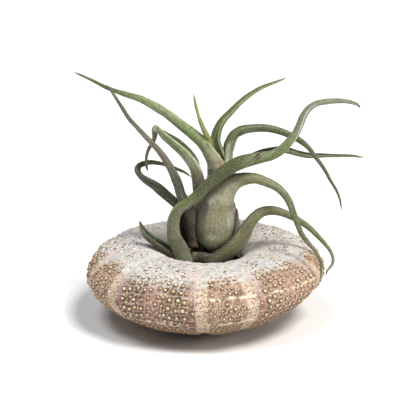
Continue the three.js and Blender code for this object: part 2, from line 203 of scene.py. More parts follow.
def finish_piece(bm, name, material, nodes, recalculate=True):
    if recalculate:
        bmesh.ops.recalc_face_normals(bm, faces=bm.faces[:])
    for face in bm.faces:
        face.smooth = True
    mesh = to_mesh(bm, name)
    mesh.materials.append(material)
    piece = bpy.data.objects.new(name, mesh)
    bpy.context.scene.collection.objects.link(piece)
    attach(piece, "root")
    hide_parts(*nodes)
    triangles = sum(len(p.vertices) - 2 for p in mesh.polygons)
    print(f"{name}: {triangles} triangles")


# %% [markdown]
# The shell is a turned form, a little five-sided and leaning by two degrees. Its half section
# is three arcs: a flattened bowl below the waist, the shoulder from there to the crest, and the
# turn down into the mouth. It could be sculpted by hand, but all the marks of an urchin follow
# two numbers, the angle round the axis and the way along the section in millimetres, so each
# point of the shell is named by them.

# %% Shell section
SHELL_RADIUS = 47.7
SHELL_DEPTH = 22.2
WIDEST_Z = 21.7
CREST_RADIUS = 27.5
CREST_HEIGHT = 9.9
MOUTH_RADIUS = 15.0
MOUTH_DROP = 6.0
HOLE_RADIUS = 14.6
SHELL_WALL = 1.6
UNDERSIDE_POWER = 1.24


def half_section(inset):
    """(radius, height) points from the middle of the foot to the lip, set in by inset."""
    points = []
    for degrees in range(90, 0, -1):
        turn = math.radians(degrees)
        height = -(SHELL_DEPTH - inset) * math.sin(turn) ** UNDERSIDE_POWER
        points.append(((SHELL_RADIUS - inset) * math.cos(turn), height))
    for degrees in range(0, 90, 2):
        turn = math.radians(degrees)
        width = SHELL_RADIUS - inset - CREST_RADIUS
        points.append((CREST_RADIUS + width * math.cos(turn),
                       (CREST_HEIGHT - inset) * math.sin(turn)))
    for degrees in range(0, 91, 3):
        turn = math.radians(degrees)
        points.append((CREST_RADIUS - (CREST_RADIUS - MOUTH_RADIUS) * math.sin(turn),
                       CREST_HEIGHT - inset - MOUTH_DROP * (1 - math.cos(turn))))
    points[0] = (0.0, points[0][1])
    return points


class Line:
    """A section that can be read at any length along it."""

    def __init__(self, points):
        self.points = points
        self.lengths = [0.0]
        for (r1, z1), (r2, z2) in zip(points, points[1:]):
            self.lengths.append(self.lengths[-1] + math.hypot(r2 - r1, z2 - z1))
        self.length = self.lengths[-1]

    def at(self, along):
        along = min(max(along, 0.0), self.length)
        i = min(bisect.bisect_right(self.lengths, along), len(self.points) - 1)
        share = (along - self.lengths[i - 1]) / (self.lengths[i] - self.lengths[i - 1])
        (r1, z1), (r2, z2) = self.points[i - 1], self.points[i]
        return r1 + (r2 - r1) * share, z1 + (z2 - z1) * share

    def outward(self, along):
        r1, z1 = self.at(along - 0.5)
        r2, z2 = self.at(along + 0.5)
        size = math.hypot(r2 - r1, z2 - z1)
        return (z2 - z1) / size, -(r2 - r1) / size


outside = Line(half_section(0.0))
inside = Line(half_section(SHELL_WALL))
print("section length in mm:", round(outside.length, 1))

# %% How the real shell leans and swells
LOBES = 5
LOBE_SWELL = 0.01
LOBE_ANGLE = math.radians(11.3)
HIGH_SIDE_ANGLE = math.radians(-57.0)
HIGH_SIDE_GAIN = 0.16
LEAN_SIDE = math.radians(2.0)
LEAN_FRONT = math.radians(1.9)
SHELL_X = -0.1
LEAN = Matrix.Rotation(LEAN_FRONT, 3, "X") @ Matrix.Rotation(-LEAN_SIDE, 3, "Y")


def settle(angle, radius, height):
    """A point of the upright round shell, where it is on the leaning one, in metres."""
    swell = 1 + LOBE_SWELL * math.cos(LOBES * (angle - LOBE_ANGLE)) * radius / SHELL_RADIUS
    if height > 0:
        height *= 1 + HIGH_SIDE_GAIN * math.cos(angle - HIGH_SIDE_ANGLE)
    radius *= swell
    point = LEAN @ Vector((radius * math.sin(angle), -radius * math.cos(angle), height))
    return Vector((point.x + SHELL_X, point.y, max(point.z + WIDEST_Z, 0.0))) * MM


waist = [settle(math.radians(degrees), SHELL_RADIUS, 0.0) for degrees in (-90, 90)]
print("shell's width in mm:", round((waist[1] - waist[0]).length / MM, 1))

# %% [markdown]
# The marks of an urchin come in five narrow fields and five wide ones, with a band of pores
# on each border between them. In the middle of each wide field the plates of its two halves
# meet in a zigzag. The colours and the fine relief need to know how far a point is from these
# lines, so the distances are worked out here, in millimetres, and stored on the mesh.

# %% Helpers for soft steps and wandering


def soft_step(value, low, high):
    """0 below low, 1 above high, and a smooth rise between them."""
    share = min(max((value - low) / (high - low), 0.0), 1.0)
    return share * share * (3 - 2 * share)


def wave(angle, along, size, seed):
    """Smooth wandering between about -1 and 1, without a seam at the back."""
    spot = Vector((math.sin(angle), math.cos(angle), along / SHELL_RADIUS + seed))
    return noise.noise(spot * (SHELL_RADIUS / size))


print("a soft step at its quarter:", soft_step(0.25, 0, 1))

# %% Growth lines
# angles where a line starts and ends, way along the section at both, and breadth
GROWTH_LINES = (
    (-24, -8, 61.4, 60.6, 0.9), (-18, -8, 55.6, 55.8, 1.0), (1, 25, 60.2, 60.4, 1.6),
    (33, 68, 59.2, 57.4, 1.3), (-40, -12, 48.6, 47.6, 2.4), (2, 24, 48.2, 48.8, 2.0),
    (-50, -28, 71.0, 66.4, 1.5), (46, 56, 70.4, 67.6, 1.2), (86, 118, 61.0, 59.0, 1.5),
    (135, 170, 60.5, 59.5, 1.2), (-150, -112, 62.0, 60.0, 1.5), (-95, -70, 66.0, 63.5, 1.2),
    (180, 215, 57.0, 60.0, 1.4),
)
FARTHEST_GROWTH = 9.0
MM_PER_DEGREE = 0.8
GROWTH_SAG = 0.9


def growth_gap(angle, along):
    """Distance from the nearest growth line, counted in its breadth."""
    degrees = math.degrees(angle)
    nearest = FARTHEST_GROWTH
    for start, end, from_along, to_along, breadth in GROWTH_LINES:
        turn = (degrees - start + 90) % 360 - 90 + start
        share = (turn - start) / (end - start)
        past = max(-share, share - 1, 0) * (end - start) * MM_PER_DEGREE
        if past > nearest or abs(along - from_along) > FARTHEST_GROWTH:
            continue
        share = min(max(share, 0), 1)
        sag = GROWTH_SAG * wave(angle, start, size=7.0, seed=1.0)
        gap = abs(along - from_along - (to_along - from_along) * share - sag)
        nearest = min(nearest, math.hypot(gap, past) / breadth)
    return nearest


print("growth lines:", len(GROWTH_LINES))

# %% Where the bands and sutures are
FIELD_TURN = 360 / LOBES
HALF_TURN = FIELD_TURN / 2
FIELD_ANGLE = 10.8
BAND_OFFSET = 12.2
ROW_PITCH = 3.2
FIRST_ROW = 10.0
ZIGZAG = 0.8


def fold_angle(angle):
    """Degrees from the middle of the nearest narrow field, 0 to 36."""
    turned = (math.degrees(angle) - FIELD_ANGLE + HALF_TURN) % FIELD_TURN - HALF_TURN
    return abs(turned)


def line_marks(angle, along):
    """Distances from the bands and sutures, and the way along the section."""
    a_degree = math.radians(1) * outside.at(along)[0]
    fold = fold_angle(angle)
    from_middle = (HALF_TURN - fold) * a_degree
    zigzag = ZIGZAG * (abs(((along - FIRST_ROW) / ROW_PITCH % 2) - 1) * 2 - 1)
    return {
        "band": (fold - BAND_OFFSET) * a_degree + 0.5 * wave(angle, along, size=5.0, seed=2.0),
        "suture": abs(from_middle + zigzag),
        "along": along + 1.6 * wave(angle, along, size=9.0, seed=3.0),
        "growth": growth_gap(angle, along),
    }


at_the_waist = line_marks(0.0, 55.0)
print("marks at the waist:", {name: round(value, 1) for name, value in at_the_waist.items()})

# %% [markdown]
# An urchin's spines stood on round knobs, each on a darker ring; that ring is partly its own
# colour and partly painted shade of the shallow hollow round the knob. The big ones stand in
# rows, one row on each plate; tiny ones fill the ground between them. Scattering them at random
# would lose the rows, so their places follow the same numbers as the marks, with a little
# seeded wandering. Every point of the shell then learns how far the nearest two big knobs are:
# the first gives the dark rings, and where both are equally far there is a border between
# plates.

# %% Where the big knobs stand
KNOB_RADIUS = 0.64
LAST_KNOBS = 90.0
SHOULDER = 68.0
ANGLE_WANDER = 0.4
ALONG_WANDER = 0.3


def worn(along):
    """How much of a knob is left: small under the shell, rubbed off near the mouth."""
    below = 0.5 + 0.5 * soft_step(along, 12, 52)
    return below * (1 - 0.5 * soft_step(along, SHOULDER, SHOULDER + 12))


def wide_field_knobs(draw, rows=26, columns=7, pitch=2.8, first=1.7, slant=0.16,
                     edge=2.6, small_edge=5.0, small_size=0.66, missing=0.4):
    """(degrees, way along, radius) of the knobs on the rows of the wide fields' halves."""
    for field, side, row, column in product(range(LOBES), (-1, 1), range(rows), range(columns)):
        shift = 0.0 if side > 0 else 0.5
        from_middle = first + pitch * column
        along = FIRST_ROW + ROW_PITCH * (row + shift + 0.5) - slant * from_middle
        radius = outside.at(along)[0]
        to_band = (HALF_TURN - BAND_OFFSET) * math.radians(1) * radius - from_middle
        if along > LAST_KNOBS or to_band < edge:
            continue
        # the knobs grow a little from the zigzag towards the band
        size = KNOB_RADIUS * (0.86 + 0.05 * column)
        if to_band < small_edge:
            size *= small_size
            if draw.random() < missing:
                continue
        turned = HALF_TURN - from_middle / radius / math.radians(1)
        yield FIELD_ANGLE + FIELD_TURN * field + side * turned, along, size


def narrow_field_knobs(draw, rows=40, pitch=2.1, spacing=2.3, edge=2.5, missing=0.2):
    """The same for the narrow fields, where the knobs are smaller and less orderly."""
    for field, row, column in product(range(LOBES), range(rows), range(-4, 4)):
        along = FIRST_ROW + pitch * row
        radius = outside.at(along)[0]
        across = (column + 0.25 + 0.5 * (row % 2)) * spacing * radius / SHELL_RADIUS
        half_width = BAND_OFFSET * math.radians(1) * radius
        if along > LAST_KNOBS or abs(across) > half_width - edge or draw.random() < missing:
            continue
        angle = FIELD_ANGLE + FIELD_TURN * field + across / radius / math.radians(1)
        yield angle, along, KNOB_RADIUS * draw.uniform(0.55, 0.85)


def big_knobs():
    draw = random.Random(11)
    places = []
    for angle, along, size in [*wide_field_knobs(draw), *narrow_field_knobs(draw)]:
        angle += draw.gauss(0, ANGLE_WANDER)
        along += draw.gauss(0, ALONG_WANDER)
        size *= draw.uniform(0.72, 1.12) * worn(along)
        places.append((math.radians(angle), along, size))
    return places


def tree_of(places):
    """The places as points in space, for quick questions about the nearest."""
    tree = KDTree(len(places))
    for index, (angle, along, _) in enumerate(places):
        tree.insert(settle(angle, *outside.at(along)), index)
    tree.balance()
    return tree


places = big_knobs()
knob_tree = tree_of(places)
print("big knobs:", len(places))

# %% Where the tiny knobs stand
GRAINS = 2300
GRAIN_RADIUS = 0.32
GRAINS_FROM = 12.0
GRAINS_TO = 84.0
GRAIN_GAP = 0.55
FREE_OF_BAND = 2.2
WORN_AWAY = 0.5


def grain_places():
    """Tiny knobs in the free ground between the big ones."""
    draw = random.Random(5)
    grains = []
    while len(grains) < GRAINS:
        along = draw.uniform(GRAINS_FROM, GRAINS_TO)
        radius, height = outside.at(along)
        angle = draw.uniform(-math.pi, math.pi)
        if draw.random() > radius / SHELL_RADIUS:
            continue
        mark = line_marks(angle, along)
        if abs(mark["band"]) < FREE_OF_BAND or (along > SHOULDER and draw.random() < WORN_AWAY):
            continue
        _, index, gap = knob_tree.find(settle(angle, radius, height))
        if gap / MM > places[index][2] + GRAIN_GAP:
            grains.append((angle, along, GRAIN_RADIUS * draw.uniform(0.6, 1.15)))
    return grains


grains = grain_places()
print("tiny knobs:", len(grains))

# %% All the marks of a point
FOOT_LENGTH = 12.0
LIP_LENGTH = 4.0
LEFT_AT_THE_LIP = 0.2


def marks(angle, along):
    """Everything that the shell's finish reads."""
    mark = line_marks(angle, along)
    (_, index, first), (_, _, second) = knob_tree.find_n(settle(angle, *outside.at(along)), 2)
    mark["knob"] = first / MM / places[index][2]
    mark["plate"] = (second - first) / MM / 2
    return mark


def ridge(distance, width):
    """1 on a line, fading to 0 beyond its width."""
    return math.exp(-(distance / width) ** 2)


def relief(angle, along, mark):
    """How far the shell's outside stands out: each mark adds its depth in millimetres."""
    top = soft_step(along, SHOULDER, SHOULDER + 6)
    band = -0.30 * ridge(mark["band"], 1.7)
    suture = -0.15 * ridge(mark["suture"], 0.7)
    border = ridge(mark["plate"], 0.3) * (0.22 * top - 0.08 * (1 - top))
    boss = 0.16 * ridge(mark["knob"], 1.6) * (1 - 0.5 * top)
    growth = 0.16 * ridge(mark["growth"], 0.4)
    lumps = 0.30 * wave(angle, along, size=8.0, seed=0.0)
    lumps += 0.12 * wave(angle, along, size=2.5, seed=5.0)
    lumps += 0.10 * top * wave(angle, along, size=1.2, seed=7.0)
    to_the_lip = max(0, outside.length - along)
    fade = min(1, along / FOOT_LENGTH, to_the_lip / LIP_LENGTH + LEFT_AT_THE_LIP)
    return (band + suture + border + boss + growth + lumps) * fade


def shell_point(angle, along, mark=None):
    """The place of a point of the outside, in metres."""
    radius, height = outside.at(along)
    out_r, out_z = outside.outward(along)
    out = relief(angle, along, mark or marks(angle, along))
    return settle(angle, max(radius + out_r * out, 0.0), height + out_z * out)


print("relief at the waist in mm:", round(relief(0.0, 55.0, marks(0.0, 55.0)), 2))

# %% [markdown]
# The shell itself is one closed half section, outside, lip and inside, spun round the axis.
# A Screw modifier could spin it too, but a spin in the bmesh gives real points at once, each
# with a number that says how far along the section it is. Each point is then moved by the
# formulas above, so that the lobes, the lean and the low relief come out of named values.

# %% Spin the shell
SHELL_STEPS = 500
OUTSIDE_PITCH = 0.62
INSIDE_PITCH = 3.2
LIP_RADIUS = HOLE_RADIUS - 0.2
LIP_STEP = 0.3
INSIDE_MARK = -1.0
NO_MARK = 99.0


def section_points():
    """(radius, height, way along the outside) all round the wall, foot to lip and back."""
    outer_rows = round(outside.length / OUTSIDE_PITCH)
    inner_rows = round(inside.length / INSIDE_PITCH)
    points = []
    for row in range(outer_rows + 1):
        along = outside.length * row / outer_rows
        points.append((*outside.at(along), along))
    points.append((LIP_RADIUS, outside.points[-1][1] - LIP_STEP, outside.length))
    points.append((LIP_RADIUS, inside.points[-1][1] + LIP_STEP, outside.length))
    for row in range(inner_rows, -1, -1):
        points.append((*inside.at(inside.length * row / inner_rows), INSIDE_MARK))
    return points


def spun(bm, corners, steps, merge):
    """Spins a line of corners once round the axis and closes the poles."""
    edges = [bm.edges.new(pair) for pair in zip(corners, corners[1:])]
    bmesh.ops.spin(bm, geom=corners + edges, axis=(0, 0, 1), cent=(0, 0, 0),
                   angle=math.tau, steps=steps, use_merge=True)
    bmesh.ops.remove_doubles(bm, verts=bm.verts[:], dist=merge)


def spun_shell():
    bm = bmesh.new()
    along_of = bm.verts.layers.float.new("along_section")
    corners = []
    for radius, height, along in section_points():
        corner = bm.verts.new((0.0, -radius, height))
        corner[along_of] = along
        corners.append(corner)
    spun(bm, corners, SHELL_STEPS, merge=1e-5)
    bmesh.ops.recalc_face_normals(bm, faces=bm.faces[:])
    return bm, along_of


def shape_shell(bm, along_of):
    stored = {name: bm.verts.layers.float.new(name) for name in marks(0.0, 50.0)}
    for corner in bm.verts:
        x, y, height = corner.co
        angle = math.atan2(x, -y)
        along = corner[along_of]
        mark = marks(angle, max(along, 0.0))
        past_the_lip = along >= FOOT_LENGTH and math.hypot(x, y) <= HOLE_RADIUS + 0.1
        if along < 0 or past_the_lip:
            corner.co = settle(angle, math.hypot(x, y), height)
        else:
            corner.co = shell_point(angle, along, mark)
        for name, value in mark.items():
            corner[stored[name]] = value if along >= 0 else NO_MARK


shell_mesh, along_layer = spun_shell()
shape_shell(shell_mesh, along_layer)
print("shell points:", len(shell_mesh.verts))

# %% [markdown]
# One big knob is a circle, extruded inwards and upwards three times and closed at the top. A
# tiny one is a little ball, not quite half sunk. Copies of both are set on the shell at their
# places. Bumps in the material alone would look flat along the shell's outline, and there are
# thousands of knobs, so each has only a few dozen faces.

# %% One knob of each kind
KNOB_SIDES = 8
# ring radius and height, as shares of the knob's own radius, from the dark ring to the top
KNOB_RINGS = ((1.45, -0.12), (1.05, 0.06), (0.90, 0.45), (0.55, 0.78))
KNOB_TOP = 0.88
GRAIN_LIFT = 0.15


def knob_mesh():
    bm = bmesh.new()
    radius, height = KNOB_RINGS[0]
    ring = bmesh.ops.create_circle(bm, segments=KNOB_SIDES, radius=radius)["verts"]
    bmesh.ops.translate(bm, verts=ring, vec=(0, 0, height))
    edges = bm.edges[:]
    for (before, low), (radius, height) in zip(KNOB_RINGS, KNOB_RINGS[1:]):
        grown = bmesh.ops.extrude_edge_only(bm, edges=edges)["geom"]
        ring = [part for part in grown if isinstance(part, bmesh.types.BMVert)]
        edges = [part for part in grown if isinstance(part, bmesh.types.BMEdge)
                 and all(corner in ring for corner in part.verts)]
        bmesh.ops.scale(bm, verts=ring, vec=(radius / before, radius / before, 1))
        bmesh.ops.translate(bm, verts=ring, vec=(0, 0, height - low))
    cap = bmesh.ops.edgeloop_fill(bm, edges=edges)["faces"]
    top = bmesh.ops.poke(bm, faces=cap)["verts"]
    bmesh.ops.translate(bm, verts=top, vec=(0, 0, KNOB_TOP - KNOB_RINGS[-1][1]))
    bmesh.ops.recalc_face_normals(bm, faces=bm.faces[:])
    if top[0].normal.z < 0:
        bmesh.ops.reverse_faces(bm, faces=bm.faces[:])
    return to_mesh(bm, "knob")


def grain_mesh():
    bm = bmesh.new()
    bmesh.ops.create_uvsphere(bm, u_segments=6, v_segments=4, radius=1.0)
    bmesh.ops.translate(bm, verts=bm.verts[:], vec=(0, 0, GRAIN_LIFT))
    return to_mesh(bm, "grain")


knob = knob_mesh()
grain = grain_mesh()
print("faces of a knob and of a grain:", len(knob.polygons), len(grain.polygons))

# %% Set the knobs on the shell
STEP_AHEAD = 0.4
KNOB_HEIGHT = 0.85
HEIGHT_WORN_OFF = 0.4
LOWEST_ON_A_GRAIN = 0.35


def upright_at(angle, along):
    """A turn and place that stands something on the shell."""
    middle = shell_point(angle, along)
    ahead = shell_point(angle, along + STEP_AHEAD) - middle
    aside = shell_point(angle + STEP_AHEAD / max(outside.at(along)[0], 1.0), along) - middle
    up = aside.cross(ahead).normalized()
    across = ahead.cross(up).normalized()
    turn = Matrix((across, up.cross(across), up)).transposed().to_4x4()
    return Matrix.Translation(middle) @ turn


def knobs_mesh():
    """All knobs in one mesh; each point knows its height on the knob and the knob's tone."""
    bm = bmesh.new()
    draw = random.Random(3)
    numbers = []
    for model, spots, lowest in ((knob, places, 0.0), (grain, grains, LOWEST_ON_A_GRAIN)):
        for angle, along, size in spots:
            one = model.copy()
            height = size * (KNOB_HEIGHT - HEIGHT_WORN_OFF * soft_step(along, 60, 74))
            flat = Matrix.Diagonal((size * MM, size * MM, height * MM, 1))
            one.transform(upright_at(angle, along) @ flat)
            bm.from_mesh(one)
            bpy.data.meshes.remove(one)
            tone = draw.random()
            numbers += [(max(point.co.z, lowest), tone, along) for point in model.vertices]
    layers = [bm.verts.layers.float.new(name) for name in ("rise", "tone", "along")]
    for corner, values in zip(bm.verts, numbers):
        for layer, value in zip(layers, values):
            corner[layer] = value
    return bm


knobs = knobs_mesh()
print("points of all knobs:", len(knobs.verts))

# %% [markdown]
# A painted picture would stretch towards the shell's foot and mouth, so the finish is worked
# out from the stored distances. The ground is olive-brown, rosy
# along the zigzags, mauve or lilac beside the bands. Dark rings lie round the knobs, partly
# their own colour and partly painted shade of the hollow round each, and thin pale lines
# between the plates. The pore bands are cream with rows of dark dashes. Below the waist the
# ground, the bands and the knobs are painted darker, as painted shade under the shell. From the
# shoulder to the mouth sun and sand have worn everything to chalk, with slits left between
# the plates. The chalk reaches further down at the back and at the left of the front.

# %% How far down the chalk reaches
BLEACH_FROM = 69.0
BACK_REACH = 9.0
LEFT_REACH = 4.4


def worn_height(finish, along):
    """The way along the section, counted on where the shell is worn further down."""
    to_the_right = finish.coordinate(0)
    at_the_back = finish.rising(finish.coordinate(1), -0.022, 0.012, BACK_REACH)
    at_the_left = finish.times(finish.rising(to_the_right, -0.036, -0.026, LEFT_REACH),
                               finish.falling(to_the_right, -0.010, -0.001))
    return finish.plus(along, finish.math("MAXIMUM", at_the_back, at_the_left))


def right_side(finish):
    """0 on the left half of the shell, 1 at its right end, where it is more ochre."""
    return finish.rising(finish.coordinate(0), 0.008, 0.040)


chalk_height = outside.at(BLEACH_FROM)[1] + WIDEST_Z
print("at the front right the chalk starts about this high, in mm:", round(chalk_height, 1))

# %% Ground of the fields


def field_ground(finish, mark, fine, middling, broad):
    narrow = finish.times(finish.falling(mark["band"], -2.6, -0.6, 0.8),
                          finish.between(middling, 0.40, 0.60, 0.2, 1.0))
    rosy = finish.times(finish.falling(mark["suture"], 0.4, 6.5, 0.8),
                        finish.between(middling, 0.35, 0.60, 0.45, 1.0))
    beside = finish.times(finish.rising(mark["band"], 1.6, 2.6),
                          finish.falling(mark["band"], 3.6, 7.5))
    beside = finish.times(beside, finish.between(broad, 0.36, 0.58, 0.45, 1.0))
    lilac = finish.mix(finish.rising(mark["along"], 54, 67), (146, 98, 96), (206, 180, 182))
    specks = finish.noise(2300, 2)
    olive = finish.mix(finish.rising(fine, 0.38, 0.62), (66, 52, 40), (114, 94, 77))
    return finish.coats(
        olive,
        (finish.rising(middling, 0.45, 0.70, 0.8), (147, 113, 95)),
        (finish.times(right_side(finish), 0.6), (184, 150, 128)),
        (narrow, (188, 150, 128)),
        (rosy, (172, 130, 120)),
        (beside, lilac),
        # painted shade: darker ground below the waist, under the shell
        (finish.falling(mark["along"], 43, 52, 0.85), (92, 66, 52)),
        (finish.falling(mark["plate"], 0.08, 0.36, 0.7), (186, 170, 150)),
        # dark ring round each knob: partly its own colour, partly painted shade of the hollow round it
        (finish.falling(mark["knob"], 1.3, 2.2, 0.6), (72, 56, 44)),
        (finish.falling(specks, 0.36, 0.46, 0.5), (62, 46, 36)),
        (finish.rising(specks, 0.60, 0.68, 0.6), (226, 208, 190)))


# %% Pore bands and chalk


def pore_band(finish, mark, fine):
    """Cream ground with rows of short dark dashes."""
    dashes = finish.cells(finish.stretched(mark["band"], 0.95, mark["along"], 1.25))
    cream = finish.mix(finish.rising(fine, 0.35, 0.62), (214, 197, 171), (184, 160, 137))
    return finish.coats(
        cream,
        # painted shade: the band darker below the waist, under the shell
        (finish.falling(mark["along"], 43, 51, 0.5), (150, 120, 98)),
        (finish.falling(dashes, 0.26, 0.42, 0.95), (104, 68, 52)))


def slits_in_groups(finish, mark, from_band, broad):
    """Dark slits between the plates, in groups between the pore bands."""
    slits = finish.cells(finish.stretched(mark["band"], 0.42, mark["along"], 0.85))
    groups = finish.times(finish.rising(worn_height(finish, mark["along"]), 69, 72),
                          finish.falling(mark["along"], 79, 85))
    groups = finish.times(groups, finish.rising(from_band, 2.4, 3.8))
    groups = finish.times(groups, finish.rising(broad, 0.38, 0.46))
    return finish.times(finish.falling(slits, 0.30, 0.42, 0.95), groups)


def chalk(finish, mark, from_band, middling, broad):
    """Worn shell: white and cream, with slits, and white ridges between the plates."""
    ridges = finish.times(finish.falling(mark["plate"], 0.10, 0.36, 0.8),
                          finish.between(middling, 0.42, 0.62, 0.1, 0.7))
    grit = finish.noise(1900, 2)
    white = finish.mix(finish.rising(middling, 0.40, 0.62), (206, 204, 200), (184, 172, 156))
    return finish.coats(
        white,
        (finish.rising(broad, 0.52, 0.66, 0.7), (202, 178, 172)),
        (finish.falling(broad, 0.34, 0.46, 0.5), (178, 182, 190)),
        (finish.falling(mark["knob"], 1.0, 2.4, 0.45), (196, 180, 156)),
        (slits_in_groups(finish, mark, from_band, broad), (78, 70, 64)),
        (ridges, (240, 239, 236)),
        (finish.falling(grit, 0.34, 0.46, 0.45), (150, 134, 120)))


# %% Shell finish


def bleached(finish, mark, from_band, middling):
    """1 where the shell is worn to chalk, with a border that runs round plates and knobs."""
    height = finish.plus(worn_height(finish, mark["along"]), finish.times(middling, 9.0))
    for measure, low, high, gain in (
            (mark["plate"], 0.2, 0.7, 1.5), (mark["knob"], 1.3, 2.2, -3.0), (from_band, 1.5, 4.0, 2.5)):
        height = finish.plus(height, finish.falling(measure, low, high, gain))
    return finish.rising(height, BLEACH_FROM + 3.0, BLEACH_FROM + 9.0)


def shell_finish():
    finish = Finish("weathered_shell", roughness=0.85)
    broad = finish.noise(120, 3)
    middling = finish.noise(330, 4)
    fine = finish.noise(1000, 4)
    names = ("band", "suture", "along", "growth", "knob", "plate")
    mark = {name: finish.attribute(name) for name in names}
    from_band = finish.math("ABSOLUTE", mark["band"])
    in_band = finish.falling(finish.plus(from_band, finish.times(middling, 2.4)), 3.0, 4.1)
    growth = finish.times(finish.falling(mark["growth"], 0.10, 0.50, 0.95),
                          finish.between(middling, 0.40, 0.56, 0.15, 1.0))
    finish.colour(finish.coats(
        field_ground(finish, mark, fine, middling, broad),
        (in_band, pore_band(finish, mark, fine)),
        (growth, (232, 216, 188)),
        (bleached(finish, mark, from_band, middling), chalk(finish, mark, from_band, middling, broad))))
    finish.relief(finish.plus(fine, finish.times(middling, 0.6)), 0.0004, 0.8)
    return finish.material


def knob_finish():
    finish = Finish("knob_of_the_shell", roughness=0.75)
    finish.set("Specular IOR Level", 0.3)
    tone = finish.attribute("tone")
    along = finish.attribute("along")
    bleach = finish.rising(worn_height(finish, along), BLEACH_FROM, BLEACH_FROM + 6, 0.9)
    top = finish.coats(
        finish.mix(tone, (232, 210, 172), (198, 164, 126)),
        (finish.times(right_side(finish), 0.6), (212, 178, 142)),
        (bleach, (234, 230, 222)),
        # painted shade: the knob tops darker below the waist, under the shell
        (finish.falling(along, 42, 53, 0.6), (150, 114, 84)))
    # the dark ring at the knob's foot: partly its own colour, partly painted shade of the hollow round
    # the knob
    ring = finish.mix(bleach, finish.mix(tone, (78, 60, 46), (128, 102, 82)), (200, 192, 178))
    finish.colour(finish.mix(finish.rising(finish.attribute("rise"), 0.08, 0.40), ring, top))
    finish.relief(finish.noise(1500, 2), 0.0001)
    return finish.material


finish_piece(shell_mesh, "shell", shell_finish(), ["urchin_shell"])
finish_piece(knobs, "shell_knobs", knob_finish(), ["urchin_shell"], recalculate=False)

# %% [markdown]
# A leaf of this plant is a long channel: a strip whose sides curl up, wide and clasping at the
# foot, narrow and almost closed towards the tip. A curve with a bevel would give the bends but
# not the changing curl, so each leaf is described by guide rows: where the channel's middle
# runs, its radius, how far it curls and, where it has one, its twist. Lengths are in
# millimetres and angles in degrees. Nearly all rows are those that the solids were made from;
# some near the feet and in the two rolled leaves are finer here.

